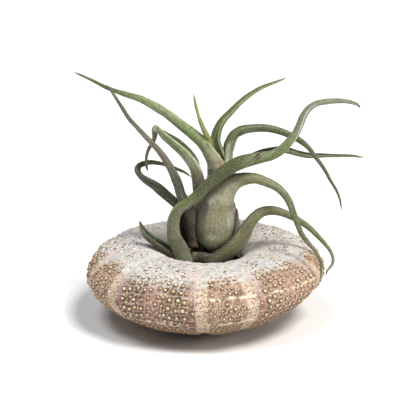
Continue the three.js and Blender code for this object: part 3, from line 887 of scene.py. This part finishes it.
# %% Guide rows of the upper leaves
# each row: x, y and z of the channel's middle, its radius, its curl and its twist, if any;
# back is the way that the channel's outside faces at the foot
LEAVES = {
    "leaf_top_spike": {
        "back": (-0.3, -1, 0),
        "guide": (
            (4.4, 2.2, 62, 1.3, 100), (3.8, 2.2, 66, 1.2, 105), (3.0, 1.8, 70.5, 1.1, 115),
            (1.9, 1.0, 74, 1.15, 118), (-0.2, 0, 78.5, 1.0, 120), (-2, 0, 83, 0.8, 120),
            (-3.5, 0, 88.5, 0.6, 110), (-4.5, 0, 94, 0.3, 100),
        ),
    },
    "leaf_upper_right": {
        "back": (0.6, 0.8, 0),
        "guide": (
            (7, 2, 58, 4.4, 95), (7, 3, 63, 3.2, 100), (5.5, 3.5, 69, 2.2, 110),
            (4.2, 4.5, 73.5, 2.0, 115), (5, 6, 77.5, 1.8, 120), (7, 8, 80.8, 1.6, 120),
            (10, 11, 83.3, 1.4, 120), (13.8, 14, 86.6, 1.2, 120), (17.5, 17, 89, 1.1, 120),
            (22.5, 20, 91.5, 0.9, 115), (28, 23, 93, 0.7, 110), (33.5, 26, 94.5, 0.35, 100),
        ),
    },
    "leaf_upper_left": {
        "back": (-0.75, -0.65, 0),
        "guide": (
            (6, 0.5, 56, 5.6, 100), (5.5, 0.5, 61, 4.8, 105), (4, 0.5, 66, 3.5, 110),
            (1.5, 1, 70, 2.8, 110), (-0.5, 1.5, 73, 2.6, 115), (-4.5, 3, 76.5, 2.4, 115),
            (-9.5, 5, 80, 2.2, 115), (-14.5, 7, 83.5, 2.0, 115), (-20, 9, 86.5, 1.8, 120),
            (-26, 11.5, 89, 1.5, 120), (-32.5, 13.5, 90.5, 1.2, 120), (-39.5, 16, 92.5, 0.9, 115),
            (-45, 17.5, 95, 0.7, 110), (-50, 19, 97, 0.55, 105), (-53, 20, 98, 0.35, 100),
        ),
    },
    "leaf_right_arch": {
        "back": (1, 0.2, 0),
        "guide": (
            (7, 2, 55, 6.0, 95), (7.5, 3, 60, 4.6, 100), (8, 4, 64.5, 3.2, 105),
            (8.5, 4.5, 69, 2.8, 110), (9.5, 5, 72.5, 2.7, 115), (11.5, 5.5, 76, 2.4, 115),
            (15, 6, 77.8, 2.2, 120), (19, 7, 78.2, 2.0, 120), (23.5, 7.5, 78.2, 1.9, 120),
            (28.5, 8, 77.2, 1.8, 120), (33, 8, 75.6, 1.7, 120), (38.5, 8, 72.6, 1.5, 120),
            (42, 7.5, 69.5, 1.2, 120), (45, 7, 65.5, 1.1, 120), (48, 6, 61.5, 1.0, 115),
            (50.5, 5, 57, 0.9, 115), (53, 4, 53, 0.8, 110), (54.5, 3, 49, 0.65, 105),
            (55, 2.5, 45, 0.35, 100),
        ),
    },
    "leaf_right_level": {
        "back": (0.7, 0.7, 0),
        "guide": (
            (8, 4, 58, 3.4, 95), (11, 6.5, 61.4, 2.1, 105), (14, 9, 63.4, 1.7, 115),
            (19, 11.5, 65, 1.55, 120), (24.5, 14, 66.4, 1.55, 120), (32.5, 17, 66.5, 1.6, 120),
            (38, 19, 64.5, 1.4, 120), (43, 21, 63, 1.3, 120), (49, 23, 62.5, 1.0, 115),
            (55, 24.5, 62, 0.8, 110), (61, 26, 61.5, 0.65, 105), (66, 27, 60.5, 0.35, 100),
        ),
    },
    "leaf_left_curl": {
        "back": (-0.9, -0.4, 0),
        "guide": (
            (-1.0, -1.6, 50, 3.2, 85), (-1.5, -3.6, 55, 3.3, 90), (-1.9, -5.0, 60, 3.3, 105),
            (-3.4, -5.8, 66, 3.1, 118, -16), (-7, -5, 70.8, 2.8, 125, -28),
            (-11.5, -3, 74.5, 2.6, 125, -32), (-15.5, -1, 77, 2.1, 125, -26),
            (-18, 0.5, 79, 1.6, 120, -10), (-19.5, 2.5, 79, 1.3, 120), (-20, 4, 77.5, 1.2, 115),
            (-20, 5.5, 75, 1.0, 110), (-21, 6, 72, 0.8, 110), (-22.5, 6.5, 69.5, 0.7, 105),
            (-23.5, 7, 66, 0.6, 105), (-23.5, 7, 62.5, 0.55, 100), (-23, 7, 60, 0.35, 100),
        ),
    },
}
print("upper leaves:", len(LEAVES))

# %% [markdown]
# The bulb isn't a piece of its own: the wide feet of leaves clasp each other and make it. The
# drooping leaf's foot is its front and a dry outer sheath closes its back. Two more leaves
# leave it at the left.

# %% Guide rows of the bulb's sheaths
LEAVES |= {
    "leaf_right_drooping": {
        "back": (0.35, -0.93, 0),
        "guide": (
            (4, 0, 28.5, 2.2, 150), (4, 0, 31.5, 5.2, 145), (3.7, 0, 36, 8.0, 135),
            (3.7, 0, 41, 9.0, 130), (3.7, 0, 46, 8.6, 125), (4.5, -0.5, 51, 7.8, 120),
            (7, -2, 55, 5.9, 110), (10.5, -4, 58.5, 4.2, 105), (14, -5.5, 60.5, 3.1, 110),
            (19.8, -8.5, 61.8, 2.3, 115), (23.3, -10, 61, 2.1, 120), (28, -11.5, 59.1, 1.9, 120),
            (31, -13, 56.7, 1.7, 120), (33, -14, 53.8, 1.6, 120), (35, -15, 48.5, 1.45, 120),
            (36.5, -15.5, 44.5, 1.3, 120), (38, -16, 41, 1.2, 120), (40.5, -17, 38, 1.05, 115),
            (43, -19, 35.5, 0.95, 115), (44.5, -20.5, 33, 0.8, 110),
            (45.5, -21.5, 29.5, 0.65, 105), (45, -21.5, 24, 0.35, 100),
        ),
    },
    "back_sheath": {
        "back": (0.6, 0.8, 0),
        "guide": (
            (4.4, 0.8, 22, 3.8, 110), (4.4, 0.8, 27, 3.9, 112), (4.4, 0.9, 31, 6.8, 108),
            (4.3, 1, 36, 9.4, 98), (4.2, 1, 40, 9.8, 90), (4.2, 1, 44, 9.2, 78),
            (4.1, 1, 47, 8.4, 62),
        ),
    },
    "leaf_left_long": {
        "back": (-0.85, -0.5, 0),
        "guide": (
            (-3.9, -2.2, 32.3, 3.8, 78), (-5.0, -2.8, 38.5, 3.6, 78), (-5.6, -4, 44, 3.7, 90),
            (-6.9, -5.5, 49.5, 3.3, 112), (-8, -6.4, 52.5, 2.8, 108), (-9.3, -7, 55.3, 2.4, 110),
            (-10.3, -7.5, 58.8, 2.2, 115), (-11.7, -8, 62.5, 2.0, 120),
            (-13.3, -8.5, 66, 1.8, 120), (-15.6, -9, 70, 1.6, 120), (-18.3, -10, 74, 1.4, 120),
            (-21.7, -11, 78, 1.25, 120), (-25.5, -12, 82.5, 1.1, 120), (-29, -13.5, 87, 1.0, 115),
            (-31.5, -15, 91.5, 0.9, 115), (-34, -16, 96, 0.75, 110), (-36, -17, 99.5, 0.6, 105),
            (-37, -18, 101, 0.35, 100),
        ),
    },
    "leaf_left_loop": {
        "back": (-0.5, -0.2, -0.85),
        "guide": (
            (-0.8, 2.2, 26.5, 4.2, 90), (-2.6, 1.8, 33, 4.0, 88), (-4.4, 0.6, 38.5, 3.2, 88),
            (-6, -0.7, 43.4, 2.6, 92), (-8.5, -1.5, 46.8, 2.8, 100), (-11, -2, 50.2, 3.0, 105),
            (-14.5, -2, 53.2, 2.9, 110), (-19, -2, 57, 2.6, 115), (-23.3, -1, 59.3, 2.1, 115),
            (-25.8, 2, 60.2, 1.5, 115), (-27, 5, 61.5, 1.35, 115), (-26.2, 8, 62.3, 1.2, 115),
            (-24.5, 10, 62.5, 1.1, 110), (-22, 12, 62.5, 1.0, 110), (-18.5, 14, 61.5, 0.85, 110),
            (-15.5, 15, 60.5, 0.75, 105), (-12.5, 16, 59, 0.7, 105), (-8.5, 17, 57, 0.55, 100),
            (-5.5, 18, 54.5, 0.35, 100),
        ),
    },
}
print("with the bulb's sheaths:", len(LEAVES))

# %% [markdown]
# Three leaves lie in front. One crosses the bulb: on its way it rolls up into a tube, and then
# it turns its open side round, so its curl and twist say more than on any other leaf. One
# starts as a cup under the bulb, and a short one leans on the shell at the left.

# %% Guide rows of the leaves in front
LEAVES |= {
    "leaf_front_crossing": {
        "back": (-0.8, 0.6, 0),
        "guide": (
            (-6.5, -6.6, 23, 3.0, 125, 60), (-8.2, -6.8, 29, 3.8, 130, 50),
            (-9.6, -6.8, 35, 4.6, 130, 27), (-10.6, -7, 40, 4.7, 125, 14),
            (-10.8, -7.4, 44.2, 4.0, 125, 14), (-9.4, -8.2, 48.5, 3.1, 125, 12),
            (-6, -9, 51.5, 2.7, 130, 10), (-2.3, -9.6, 55, 2.5, 140, 10),
            (1, -10, 59, 2.4, 155, 10), (4.5, -10.2, 62.5, 2.4, 171, 4),
            (8.5, -10.2, 65.5, 2.6, 176, -8), (13, -10, 68, 2.7, 178, -24),
            (18, -10, 69.5, 2.5, 177, -60), (22.5, -9.8, 70.5, 2.2, 166, -148),
            (26.5, -9.4, 71.5, 2.1, 140, -172), (30, -9, 73.5, 1.9, 128, -195),
            (32.7, -8, 76, 1.7, 125, -225), (35.2, -7, 79, 1.6, 120, -250),
            (37, -6, 82.7, 1.5, 120, -262), (38.6, -5, 86.2, 1.4, 120, -270),
            (40.8, -4, 88.8, 1.3, 120, -270), (43.7, -3, 90.3, 1.2, 120, -270),
            (48.5, -1, 90.7, 1.1, 115, -270), (53, 1, 90.4, 1.0, 115, -270),
            (57, 3, 89.5, 0.8, 110, -270), (60, 4, 88.3, 0.65, 105, -270),
            (61.5, 5, 86.5, 0.35, 100, -270),
        ),
    },
    "leaf_right_low": {
        "back": (0.3, -0.5, -0.8),
        "guide": (
            (-5.5, -5.2, 28.8, 3.4, 95), (-1.5, -5, 28.3, 4.0, 98), (2.5, -4.8, 27.4, 4.4, 96),
            (6.8, -4.8, 29.7, 4.1, 96), (11.2, -5.2, 33.4, 4.0, 100),
            (14.5, -5.5, 37.5, 3.7, 105), (16.8, -5.6, 41.3, 2.9, 110),
            (19.3, -5.5, 44.6, 2.5, 115), (22.5, -5, 46.8, 2.2, 120),
            (26.5, -4.5, 47.3, 2.0, 120), (30.5, -4, 46.3, 1.7, 120), (34.5, -4, 44.5, 1.5, 120),
            (38.2, -4, 42.4, 1.3, 120), (41.9, -4.5, 39.7, 1.2, 120), (45, -5.5, 36.8, 1.0, 115),
            (48, -7, 33.8, 0.9, 115), (50, -8.5, 31.4, 0.8, 110), (50.9, -10, 29, 0.75, 110),
            (50.8, -11, 27.3, 0.7, 105), (49.8, -12, 25.9, 0.65, 105),
            (48.5, -13, 24.7, 0.55, 105), (47.8, -14, 23, 0.35, 100),
        ),
    },
    "leaf_left_short": {
        "back": (-0.1, 0.1, -0.9),
        "guide": (
            (-8, -5, 25.5, 2.2, 95), (-11.4, -5.4, 29, 2.4, 100), (-15, -5.4, 31.6, 2.5, 105),
            (-19.4, -5, 34.6, 2.4, 105), (-22.6, -4.6, 36.9, 2.1, 110), (-24.4, -4, 39, 1.5, 105),
            (-25.5, -3.4, 41.2, 0.85, 100), (-26, -3, 42.6, 0.35, 100),
        ),
    },
}
print("all leaves:", len(LEAVES))

# %% [markdown]
# Between its guide rows a leaf follows a smooth spline, and so do its radius, curl and twist.
# The strip starts as a flat grid, is extruded once to give it an inner face, and is then bent:
# each of its rings is laid round the spline, square to it. A direction called back is carried
# along from ring to ring without turning about the spline, so the channel doesn't spin.

# %% Smooth spline through guide rows


def spline(points, share):
    """A smooth curve through the points, read at a share of 0 to 1."""
    place = share * (len(points) - 1)
    i = min(int(place), len(points) - 2)
    weight = place - i
    p1, p2 = points[i], points[i + 1]
    p0 = points[i - 1] if i > 0 else p1 * 2 - p2
    p3 = points[i + 2] if i + 2 < len(points) else p2 * 2 - p1
    steps = [max((b - a).length ** 0.5, 1e-4) for a, b in ((p0, p1), (p1, p2), (p2, p3))]
    start = ((p1 - p0) / steps[0] - (p2 - p0) / (steps[0] + steps[1]) + (p2 - p1) / steps[1])
    end = ((p2 - p1) / steps[1] - (p3 - p1) / (steps[1] + steps[2]) + (p3 - p2) / steps[2])
    start, end = start * steps[1], end * steps[1]
    square, cube = weight ** 2, weight ** 3
    return (p1 * (2 * cube - 3 * square + 1) + start * (cube - 2 * square + weight)
            + p2 * (3 * square - 2 * cube) + end * (cube - square))


spike = [Vector(row[:3]) for row in LEAVES["leaf_top_spike"]["guide"]]
print("halfway up the top spike, in mm:", [round(value, 1) for value in spline(spike, 0.5)])

# %% Rings along a leaf
LEAF_STEP = 0.8
NEARBY = 0.001
NO_TWIST = 0.0


def leaf_rings(leaf):
    """Frames along a leaf: middle, outward, aside, radius, curl and length so far, in mm."""
    middles = [Vector(row[:3]) for row in leaf["guide"]]
    sections = [Vector((*row[3:], NO_TWIST)[:3]) for row in leaf["guide"]]
    length = sum((b - a).length for a, b in zip(middles, middles[1:]))
    count = round(length / LEAF_STEP)
    back = Vector(leaf["back"])
    rings = []
    for ring in range(count + 1):
        share = ring / count
        ahead = spline(middles, min(share + NEARBY, 1)) - spline(middles, max(share - NEARBY, 0))
        ahead.normalize()
        back = (back - ahead * back.dot(ahead)).normalized()
        radius, curl, twist = spline(sections, share)
        outward = Matrix.Rotation(math.radians(twist), 3, ahead) @ back
        rings.append({"middle": spline(middles, share), "outward": outward,
                      "aside": ahead.cross(outward), "radius": radius,
                      "curl": math.radians(curl), "along": share * length, "length": length})
    return rings


print("rings of the longest leaf:", max(len(leaf_rings(leaf)) for leaf in LEAVES.values()))

# %% Bend a strip into a leaf
STRIPS = 18
THICKEST = 1.0
THINNER_SIDES = 0.25
ROUND_MARGIN = 0.86
MARGIN_BREADTH = 0.145
TIP_LENGTH = 2.0
TIP_SHARE = 0.25
THINNEST_REACH = 0.04
WANDER = 0.035


def flat_strip(rings):
    """A flat strip with an inner face, whose points know their share across and their ring."""
    bm = bmesh.new()
    bmesh.ops.create_grid(bm, x_segments=STRIPS, y_segments=len(rings) - 1, size=1.0)
    grown = bmesh.ops.extrude_face_region(bm, geom=bm.faces[:], use_keep_orig=True)["geom"]
    inner = [part for part in grown if isinstance(part, bmesh.types.BMVert)]
    bmesh.ops.translate(bm, verts=inner, vec=(0, 0, -1))
    return bm


def leaf_thickness(radius, across):
    """Thin along the sides and rounded at both margins, in millimetres."""
    middle = min(0.9 * radius, 0.55 + 0.16 * radius, THICKEST)
    thin = middle * (1 - THINNER_SIDES * across ** 2)
    past = max(abs(across) - ROUND_MARGIN, 0) / MARGIN_BREADTH
    return thin * math.sqrt(max(1 - past ** 2, 0.05))


def bend_leaf(bm, rings, seed):
    """Lays each row of the strip on its ring and stores what the leaf's finish reads."""
    names = ("across", "along", "share", "side", "inner")
    layers = [bm.verts.layers.float.new(name) for name in names]
    last = len(rings) - 1
    for corner in bm.verts:
        across = corner.co.x
        is_inner = corner.co.z < -0.5
        ring = rings[round((corner.co.y + 1) / 2 * last)]
        radius, along, length = ring["radius"], ring["along"], ring["length"]
        if length - along < TIP_LENGTH:
            radius *= TIP_SHARE + (1 - TIP_SHARE) * (length - along) / TIP_LENGTH
        thin = leaf_thickness(radius, across)
        radius *= 1 + WANDER * noise.noise(Vector((along / 9, across * 0.7, seed)))
        reach = max(radius - thin, THINNEST_REACH) if is_inner else radius
        angle = across * ring["curl"]
        corner.co = (ring["middle"] + ring["outward"] * (reach * math.cos(angle))
                     + ring["aside"] * (reach * math.sin(angle))) * MM
        values = (angle * radius, along, along / length, across, 1.0 if is_inner else 0.0)
        for layer, value in zip(layers, values):
            corner[layer] = value


thicknesses = [round(leaf_thickness(radius, 0.0), 2) for radius in (1.0, 4.0)]
print("thickness of channels 2 and 8 mm wide, in mm:", thicknesses)

# %% [markdown]
# Leaf surfaces carry fine lengthwise stripes and rows of tiny silvery scales, which is how an
# air plant drinks. The two margins differ, and the channel has its own colour; where it is
# darker than the blade, that is painted shade inside the channel. A blush of mauve or brown
# comes in patches, and the end of the foot is dry. A leaf's finish takes its colours and the
# few marks of its own, each given by its colour, its place along and across the leaf, its
# reach and its strength; a few of these marks are painted shade and a few painted light, as
# said beside them. Thirteen separate materials would soon drift apart, so one function
# makes them all.

# %% Leaf finish
SCALE_COLOUR = (206, 210, 196)
VEIN_COLOUR = (62, 66, 40)
DRY_COLOUR = (110, 94, 70)
BLUSH_COLOUR = (118, 104, 92)
RAGGEDNESS = 2.4


def near(finish, share, side, place, reach, ragged):
    """1 at a place on the leaf, 0 beyond its reach, with a ragged border."""
    steps = []
    for value, middle, size in zip((share, side), place, reach):
        gap = finish.math("DIVIDE", finish.math("SUBTRACT", value, middle), size)
        steps.append(finish.math("POWER", finish.math("ABSOLUTE", gap), 2.0))
    gap = finish.math("SQRT", finish.plus(*steps))
    gap = finish.plus(gap, finish.times(finish.math("SUBTRACT", ragged, 0.5), RAGGEDNESS))
    return finish.falling(gap, 0.5, 1.2)


def leaf_finish(name, foot, blade, channel, left, right, tip, far=None, blush=BLUSH_COLOUR,
                foot_end=0.22, far_from=0.5, blushing=0.5, own_marks=()):
    finish = Finish(name, roughness=0.5)
    finish.set("Sheen Weight", 0.12)
    finish.set("Sheen Roughness", 0.5)
    finish.set("Specular IOR Level", 0.35)
    across, along, side, share, inner = (
        finish.attribute(key) for key in ("across", "along", "side", "share", "inner"))
    stripes = finish.noise(1.0, 3, finish.stretched(across, 2.6, along, 0.07, inner))
    scales = finish.cells(finish.stretched(across, 2.7, along, 1.9, inner))
    patches = finish.noise(120, 4)
    grain = finish.noise(700, 3)
    scaly = finish.between(share, foot_end * 0.4, foot_end * 1.6, 0.10, 0.24)
    ragged = finish.times(finish.plus(patches, stripes), 0.5)
    skin = finish.mix(finish.rising(share, foot_end * 0.4, foot_end * 1.5), foot, blade)
    if far:
        skin = finish.mix(finish.rising(share, far_from, far_from + 0.25), skin, far)
    skin = finish.coats(
        skin,
        (finish.rising(patches, 0.48, 0.70, blushing), blush),
        (finish.falling(patches, 0.30, 0.44, 0.35), blade),
        (finish.rising(stripes, 0.50, 0.62, 0.42), VEIN_COLOUR),
        (finish.times(finish.falling(stripes, 0.36, 0.46), scaly), SCALE_COLOUR),
        # channel: the inner face's own colour; where it is darker than the blade it is painted shade
        # inside the channel
        (finish.rising(inner, 0.3, 0.7), channel),
        (finish.falling(side, -0.97, -0.80, 0.85), left),
        (finish.rising(side, 0.80, 0.97, 0.85), right))
    for tint, place, reach, strength in own_marks:
        spot = near(finish, share, side, place, reach, ragged)
        skin = finish.mix(finish.times(spot, strength), skin, tint)
    finish.colour(finish.coats(
        skin,
        (finish.rising(share, 0.93, 1.0), tip),
        (finish.falling(share, 0.0, 0.04, 0.85), DRY_COLOUR),
        (finish.falling(grain, 0.38, 0.58, 0.30), VEIN_COLOUR),
        (finish.falling(scales, 0.15, 0.45, 0.26), SCALE_COLOUR)))
    finish.relief(finish.plus(stripes, finish.times(scales, -0.35)), 0.00025, 0.8)
    return finish.material


# %% Colours of the upper leaves
# own marks: colour, place along and across the leaf, reach along and across, strength
# a channel colour darker than the blade is painted shade inside the channel
LEAF_COLOURS = {
    "leaf_top_spike": dict(
        foot=(136, 132, 78), blade=(142, 144, 74), channel=(122, 124, 58), left=(100, 80, 50),
        right=(120, 110, 60), tip=(190, 186, 130), blush=(120, 96, 52)),
    "leaf_upper_right": dict(
        foot=(150, 156, 102), blade=(94, 114, 60), channel=(98, 112, 62), left=(130, 138, 90),
        right=(62, 76, 46), tip=(184, 150, 108), far=(126, 156, 78), blush=(108, 112, 64),
        own_marks=(((152, 150, 106), (0.15, 0.1), (0.13, 1.3), 0.85),)),
    "leaf_upper_left": dict(
        foot=(148, 146, 118), blade=(122, 140, 86), channel=(56, 60, 34), left=(96, 112, 62),
        right=(206, 210, 180), tip=(190, 194, 156), far=(72, 94, 48), blush=(150, 146, 116),
        far_from=0.55, own_marks=(((150, 140, 114), (0.12, 0.3), (0.12, 0.8), 0.7),
                                   ((126, 96, 78), (0.13, 0.85), (0.025, 0.25), 0.6),
                                   ((80, 66, 76), (0.10, 0.10), (0.022, 0.45), 0.8))),
    "leaf_right_arch": dict(
        foot=(122, 146, 88), blade=(78, 94, 54), channel=(116, 124, 90), left=(118, 124, 92),
        right=(66, 80, 48), tip=(92, 100, 64), far=(80, 100, 60), blush=(92, 90, 62),
        own_marks=(((182, 182, 162), (0.15, -0.88), (0.08, 0.24), 0.8),
                    ((96, 84, 66), (0.25, -0.95), (0.04, 0.12), 0.7),
                    ((140, 138, 116), (0.36, -0.1), (0.09, 0.35), 0.8),
                    ((84, 76, 56), (0.43, -0.5), (0.02, 0.4), 0.6))),
    "leaf_right_level": dict(
        foot=(98, 102, 66), blade=(104, 106, 64), channel=(46, 50, 30), left=(140, 136, 96),
        right=(50, 54, 34), tip=(132, 116, 96), far=(120, 112, 80), blush=(86, 78, 52)),
    "leaf_left_curl": dict(
        foot=(134, 128, 102), blade=(116, 130, 86), channel=(52, 72, 38), left=(80, 86, 58),
        right=(176, 184, 152), tip=(86, 96, 64), far=(110, 112, 84), blush=(106, 96, 76),
        foot_end=0.20, own_marks=(((176, 180, 162), (0.50, 0.2), (0.05, 1.2), 0.8),
                                   ((190, 184, 166), (0.24, -0.2), (0.07, 0.8), 0.7),
                                   ((88, 76, 58), (0.14, 0.6), (0.06, 0.6), 0.7))),
}
print("upper leaves with colours:", len(LEAF_COLOURS))

# %% Colours of the leaves that make the bulb
LEAF_COLOURS |= {
    "leaf_right_drooping": dict(
        foot=(142, 138, 110), blade=(134, 133, 94), channel=(88, 70, 50), left=(84, 84, 54),
        right=(140, 128, 98), tip=(106, 106, 78), far=(94, 102, 60), blush=(124, 112, 88),
        foot_end=0.36, far_from=0.42, own_marks=(
            # the next two marks are painted shade on the bulb's left side, away from the stronger light
            # at the right
            ((104, 94, 82), (0.16, -0.52), (0.13, 0.20), 0.7),
            ((88, 76, 80), (0.215, -0.42), (0.035, 0.10), 0.8),
            ((190, 194, 176), (0.27, -0.36), (0.03, 0.10), 0.55),
            ((118, 106, 66), (0.245, 0.04), (0.04, 0.18), 0.75),
            ((190, 190, 170), (0.17, 0.22), (0.055, 0.12), 0.55),
            # the next three marks are painted light on the low part of the bulb, which faces down and
            # gets less light
            ((156, 160, 124), (0.09, 0.22), (0.05, 0.18), 0.8),
            ((172, 178, 142), (0.06, -0.1), (0.05, 0.5), 0.8),
            ((184, 180, 146), (0.09, -0.22), (0.03, 0.16), 0.8),
            ((90, 92, 66), (0.10, -0.42), (0.014, 0.05), 0.6),
            ((186, 182, 152), (0.325, 0.1), (0.07, 0.6), 0.8))),
    "leaf_left_long": dict(
        foot=(62, 46, 30), blade=(62, 58, 46), channel=(72, 66, 42), left=(120, 118, 92),
        right=(62, 56, 46), tip=(92, 78, 80), far=(106, 98, 82), blush=(74, 64, 56),
        foot_end=0.16, far_from=0.34, own_marks=(((40, 30, 24), (0.02, 0.0), (0.03, 2.0), 0.8),)),
    "leaf_left_loop": dict(
        foot=(50, 46, 32), blade=(38, 44, 20), channel=(44, 46, 26), left=(44, 46, 24),
        right=(108, 108, 72), tip=(140, 116, 56), far=(98, 88, 58), blush=(54, 50, 32),
        foot_end=0.16),
}
print("with the bulb's leaves:", len(LEAF_COLOURS))

# %% Colours of the leaves in front and of the dry sheath
LEAF_COLOURS |= {
    "leaf_front_crossing": dict(
        foot=(104, 110, 78), blade=(98, 112, 60), channel=(54, 50, 32), left=(132, 134, 100),
        right=(122, 116, 92), tip=(118, 106, 98), far=(124, 126, 104), blush=(104, 98, 70),
        foot_end=0.10, far_from=0.56, own_marks=(
            ((112, 106, 88), (0.12, 0.85), (0.16, 0.30), 0.9),
            ((142, 146, 122), (0.015, 0.6), (0.04, 0.6), 0.6),
            ((68, 78, 34), (0.36, 0.35), (0.13, 0.85), 0.95),
            # painted shade on the lower strip, under the rolled upper strip
            ((60, 70, 48), (0.34, -0.85), (0.10, 0.30), 0.85),
            ((84, 60, 40), (0.485, -0.95), (0.012, 0.25), 0.9),
            ((180, 176, 168), (0.66, 0.32), (0.14, 0.15), 0.9))),
    "leaf_right_low": dict(
        # the near-black foot is painted shade of the mouth's dark gap under the bulb
        foot=(32, 28, 18), blade=(112, 110, 72), channel=(60, 60, 36), left=(40, 32, 22),
        right=(90, 92, 58), tip=(98, 94, 70), far=(112, 116, 74), blush=(96, 88, 62),
        foot_end=0.14, far_from=0.36, own_marks=(((104, 112, 74), (0.21, -0.2), (0.05, 0.3), 0.6),
                                   ((88, 84, 50), (0.275, 0.0), (0.03, 1.2), 0.55))),
    "leaf_left_short": dict(
        foot=(30, 40, 22), blade=(46, 54, 30), channel=(28, 36, 22), left=(84, 100, 60),
        right=(92, 90, 60), tip=(118, 94, 80), far=(110, 106, 76), blush=(74, 66, 46),
        far_from=0.48),
    "back_sheath": dict(
        foot=(84, 72, 54), blade=(116, 108, 86), channel=(78, 60, 44), left=(96, 80, 60),
        right=(96, 80, 60), tip=(120, 112, 92), blush=(92, 78, 60)),
}
own_counts = [len(colours.get("own_marks", ())) for colours in LEAF_COLOURS.values()]
print("leaves with colours:", len(own_counts), "marks of their own:", sum(own_counts))

# %% Make the leaves
for seed, (name, leaf) in enumerate(LEAVES.items()):
    rings = leaf_rings(leaf)
    strip = flat_strip(rings)
    bend_leaf(strip, rings, seed)
    finish_piece(strip, "dressed_" + name, leaf_finish("skin_" + name, **LEAF_COLOURS[name]),
                 [name])

# %% [markdown]
# The heart of the bulb is what shows in the gaps between the sheaths: a short stem and the
# packed inner sheaths. So little of it is seen that one turned form does for all of them: a
# half section spun round and then bent towards the neck.

# %% Bulb heart
HEART_X = 3.7
NECK_X = 6.2
NECK_Y = 0.8
BEND_FROM = 46.0
BEND_TO = 60.0
HEART_SECTION = (
    (0, 22), (2.2, 22), (2.9, 24.5), (2.4, 29), (3.6, 31.5), (6.4, 36), (7.5, 41), (7.0, 46),
    (5.9, 51), (4.5, 55.5), (3.4, 60), (2.4, 64), (1.2, 66.5), (0, 67),
)
HEART_STEPS = 64


def bulb_heart():
    bm = bmesh.new()
    middles = [Vector((radius, 0, height)) for radius, height in HEART_SECTION]
    count = 4 * (len(middles) - 1)
    corners = []
    for step in range(count + 1):
        point = spline(middles, step / count)
        radius = 0.0 if step in (0, count) else max(point.x, 0.0)
        corners.append(bm.verts.new((radius, 0, point.z)))
    spun(bm, corners, HEART_STEPS, merge=1e-4)
    for corner in bm.verts:
        bend = soft_step(corner.co.z, BEND_FROM, BEND_TO)
        moved = corner.co + Vector((HEART_X + bend * (NECK_X - HEART_X), bend * NECK_Y, 0))
        corner.co = moved * MM
    return bm


def heart_finish():
    finish = Finish("inner_sheaths", roughness=0.7)
    patches = finish.noise(260, 4)
    finish.colour(finish.mix(finish.rising(patches, 0.35, 0.65), (96, 84, 58), (128, 116, 84)))
    finish.relief(patches, 0.0004, 0.6)
    return finish.material


finish_piece(bulb_heart(), "inner_bulb", heart_finish(), ["bulb_heart"])

# %% [markdown]
# The stage is a white floor without a visible horizon. Two soft lights stand high in front, a
# strong one at the right and a weaker, cooler one at the left, and a low reflector at the
# right brightens that side and the floor beside it. The shadow under the shell is dark only
# where all three are hidden. They are sun lamps with a wide angle, because those light the
# floor evenly as far as the camera sees. The plain view transform keeps the white of the
# paper white.

# %% Stage and light
FLOOR_SIZE = 40.0
FLOOR_COLOUR = (0.93, 0.925, 0.92, 1)
# name, where it shines from, strength and tint of each soft light
LIGHTS = (
    ("light_at_the_right", (0.44, -0.54, 1.0), 3.0, (1.0, 0.98, 0.95)),
    ("light_at_the_left", (-0.30, -0.44, 1.0), 1.25, (0.92, 0.97, 1.0)),
    ("reflector_at_the_right", (1.0, -0.12, 0.36), 0.7, (1.0, 0.96, 0.93)),
)
LIGHT_ANGLE = 19.0
SURROUND_STRENGTH = 0.19
SURROUND_COLOUR = (0.93, 0.965, 1.0, 1)


def stage_floor():
    bm = bmesh.new()
    bmesh.ops.create_grid(bm, x_segments=1, y_segments=1, size=FLOOR_SIZE / 2)
    mesh = to_mesh(bm, "floor")
    finish = Finish("white_floor", roughness=0.9)
    finish.set("Base Color", FLOOR_COLOUR)
    finish.set("Specular IOR Level", 0.1)
    mesh.materials.append(finish.material)
    floor = bpy.data.objects.new("floor", mesh)
    bpy.context.scene.collection.objects.link(floor)


def soft_lights():
    for name, place, strength, tint in LIGHTS:
        lamp = bpy.data.objects.new(name, bpy.data.lights.new(name, "SUN"))
        lamp.data.angle = math.radians(LIGHT_ANGLE)
        lamp.data.energy = strength
        lamp.data.color = tint
        lamp.rotation_euler = (-Vector(place)).to_track_quat("-Z", "Y").to_euler()
        bpy.context.scene.collection.objects.link(lamp)


def surround():
    world = bpy.data.worlds.new("surround")
    world.use_nodes = True
    sky = world.node_tree.nodes["Background"]
    sky.inputs["Color"].default_value = SURROUND_COLOUR
    sky.inputs["Strength"].default_value = SURROUND_STRENGTH
    bpy.context.scene.world = world


stage_floor()
soft_lights()
surround()
bpy.context.scene.view_settings.view_transform = "Standard"
print("soft lights:", [name for name, *_ in LIGHTS])
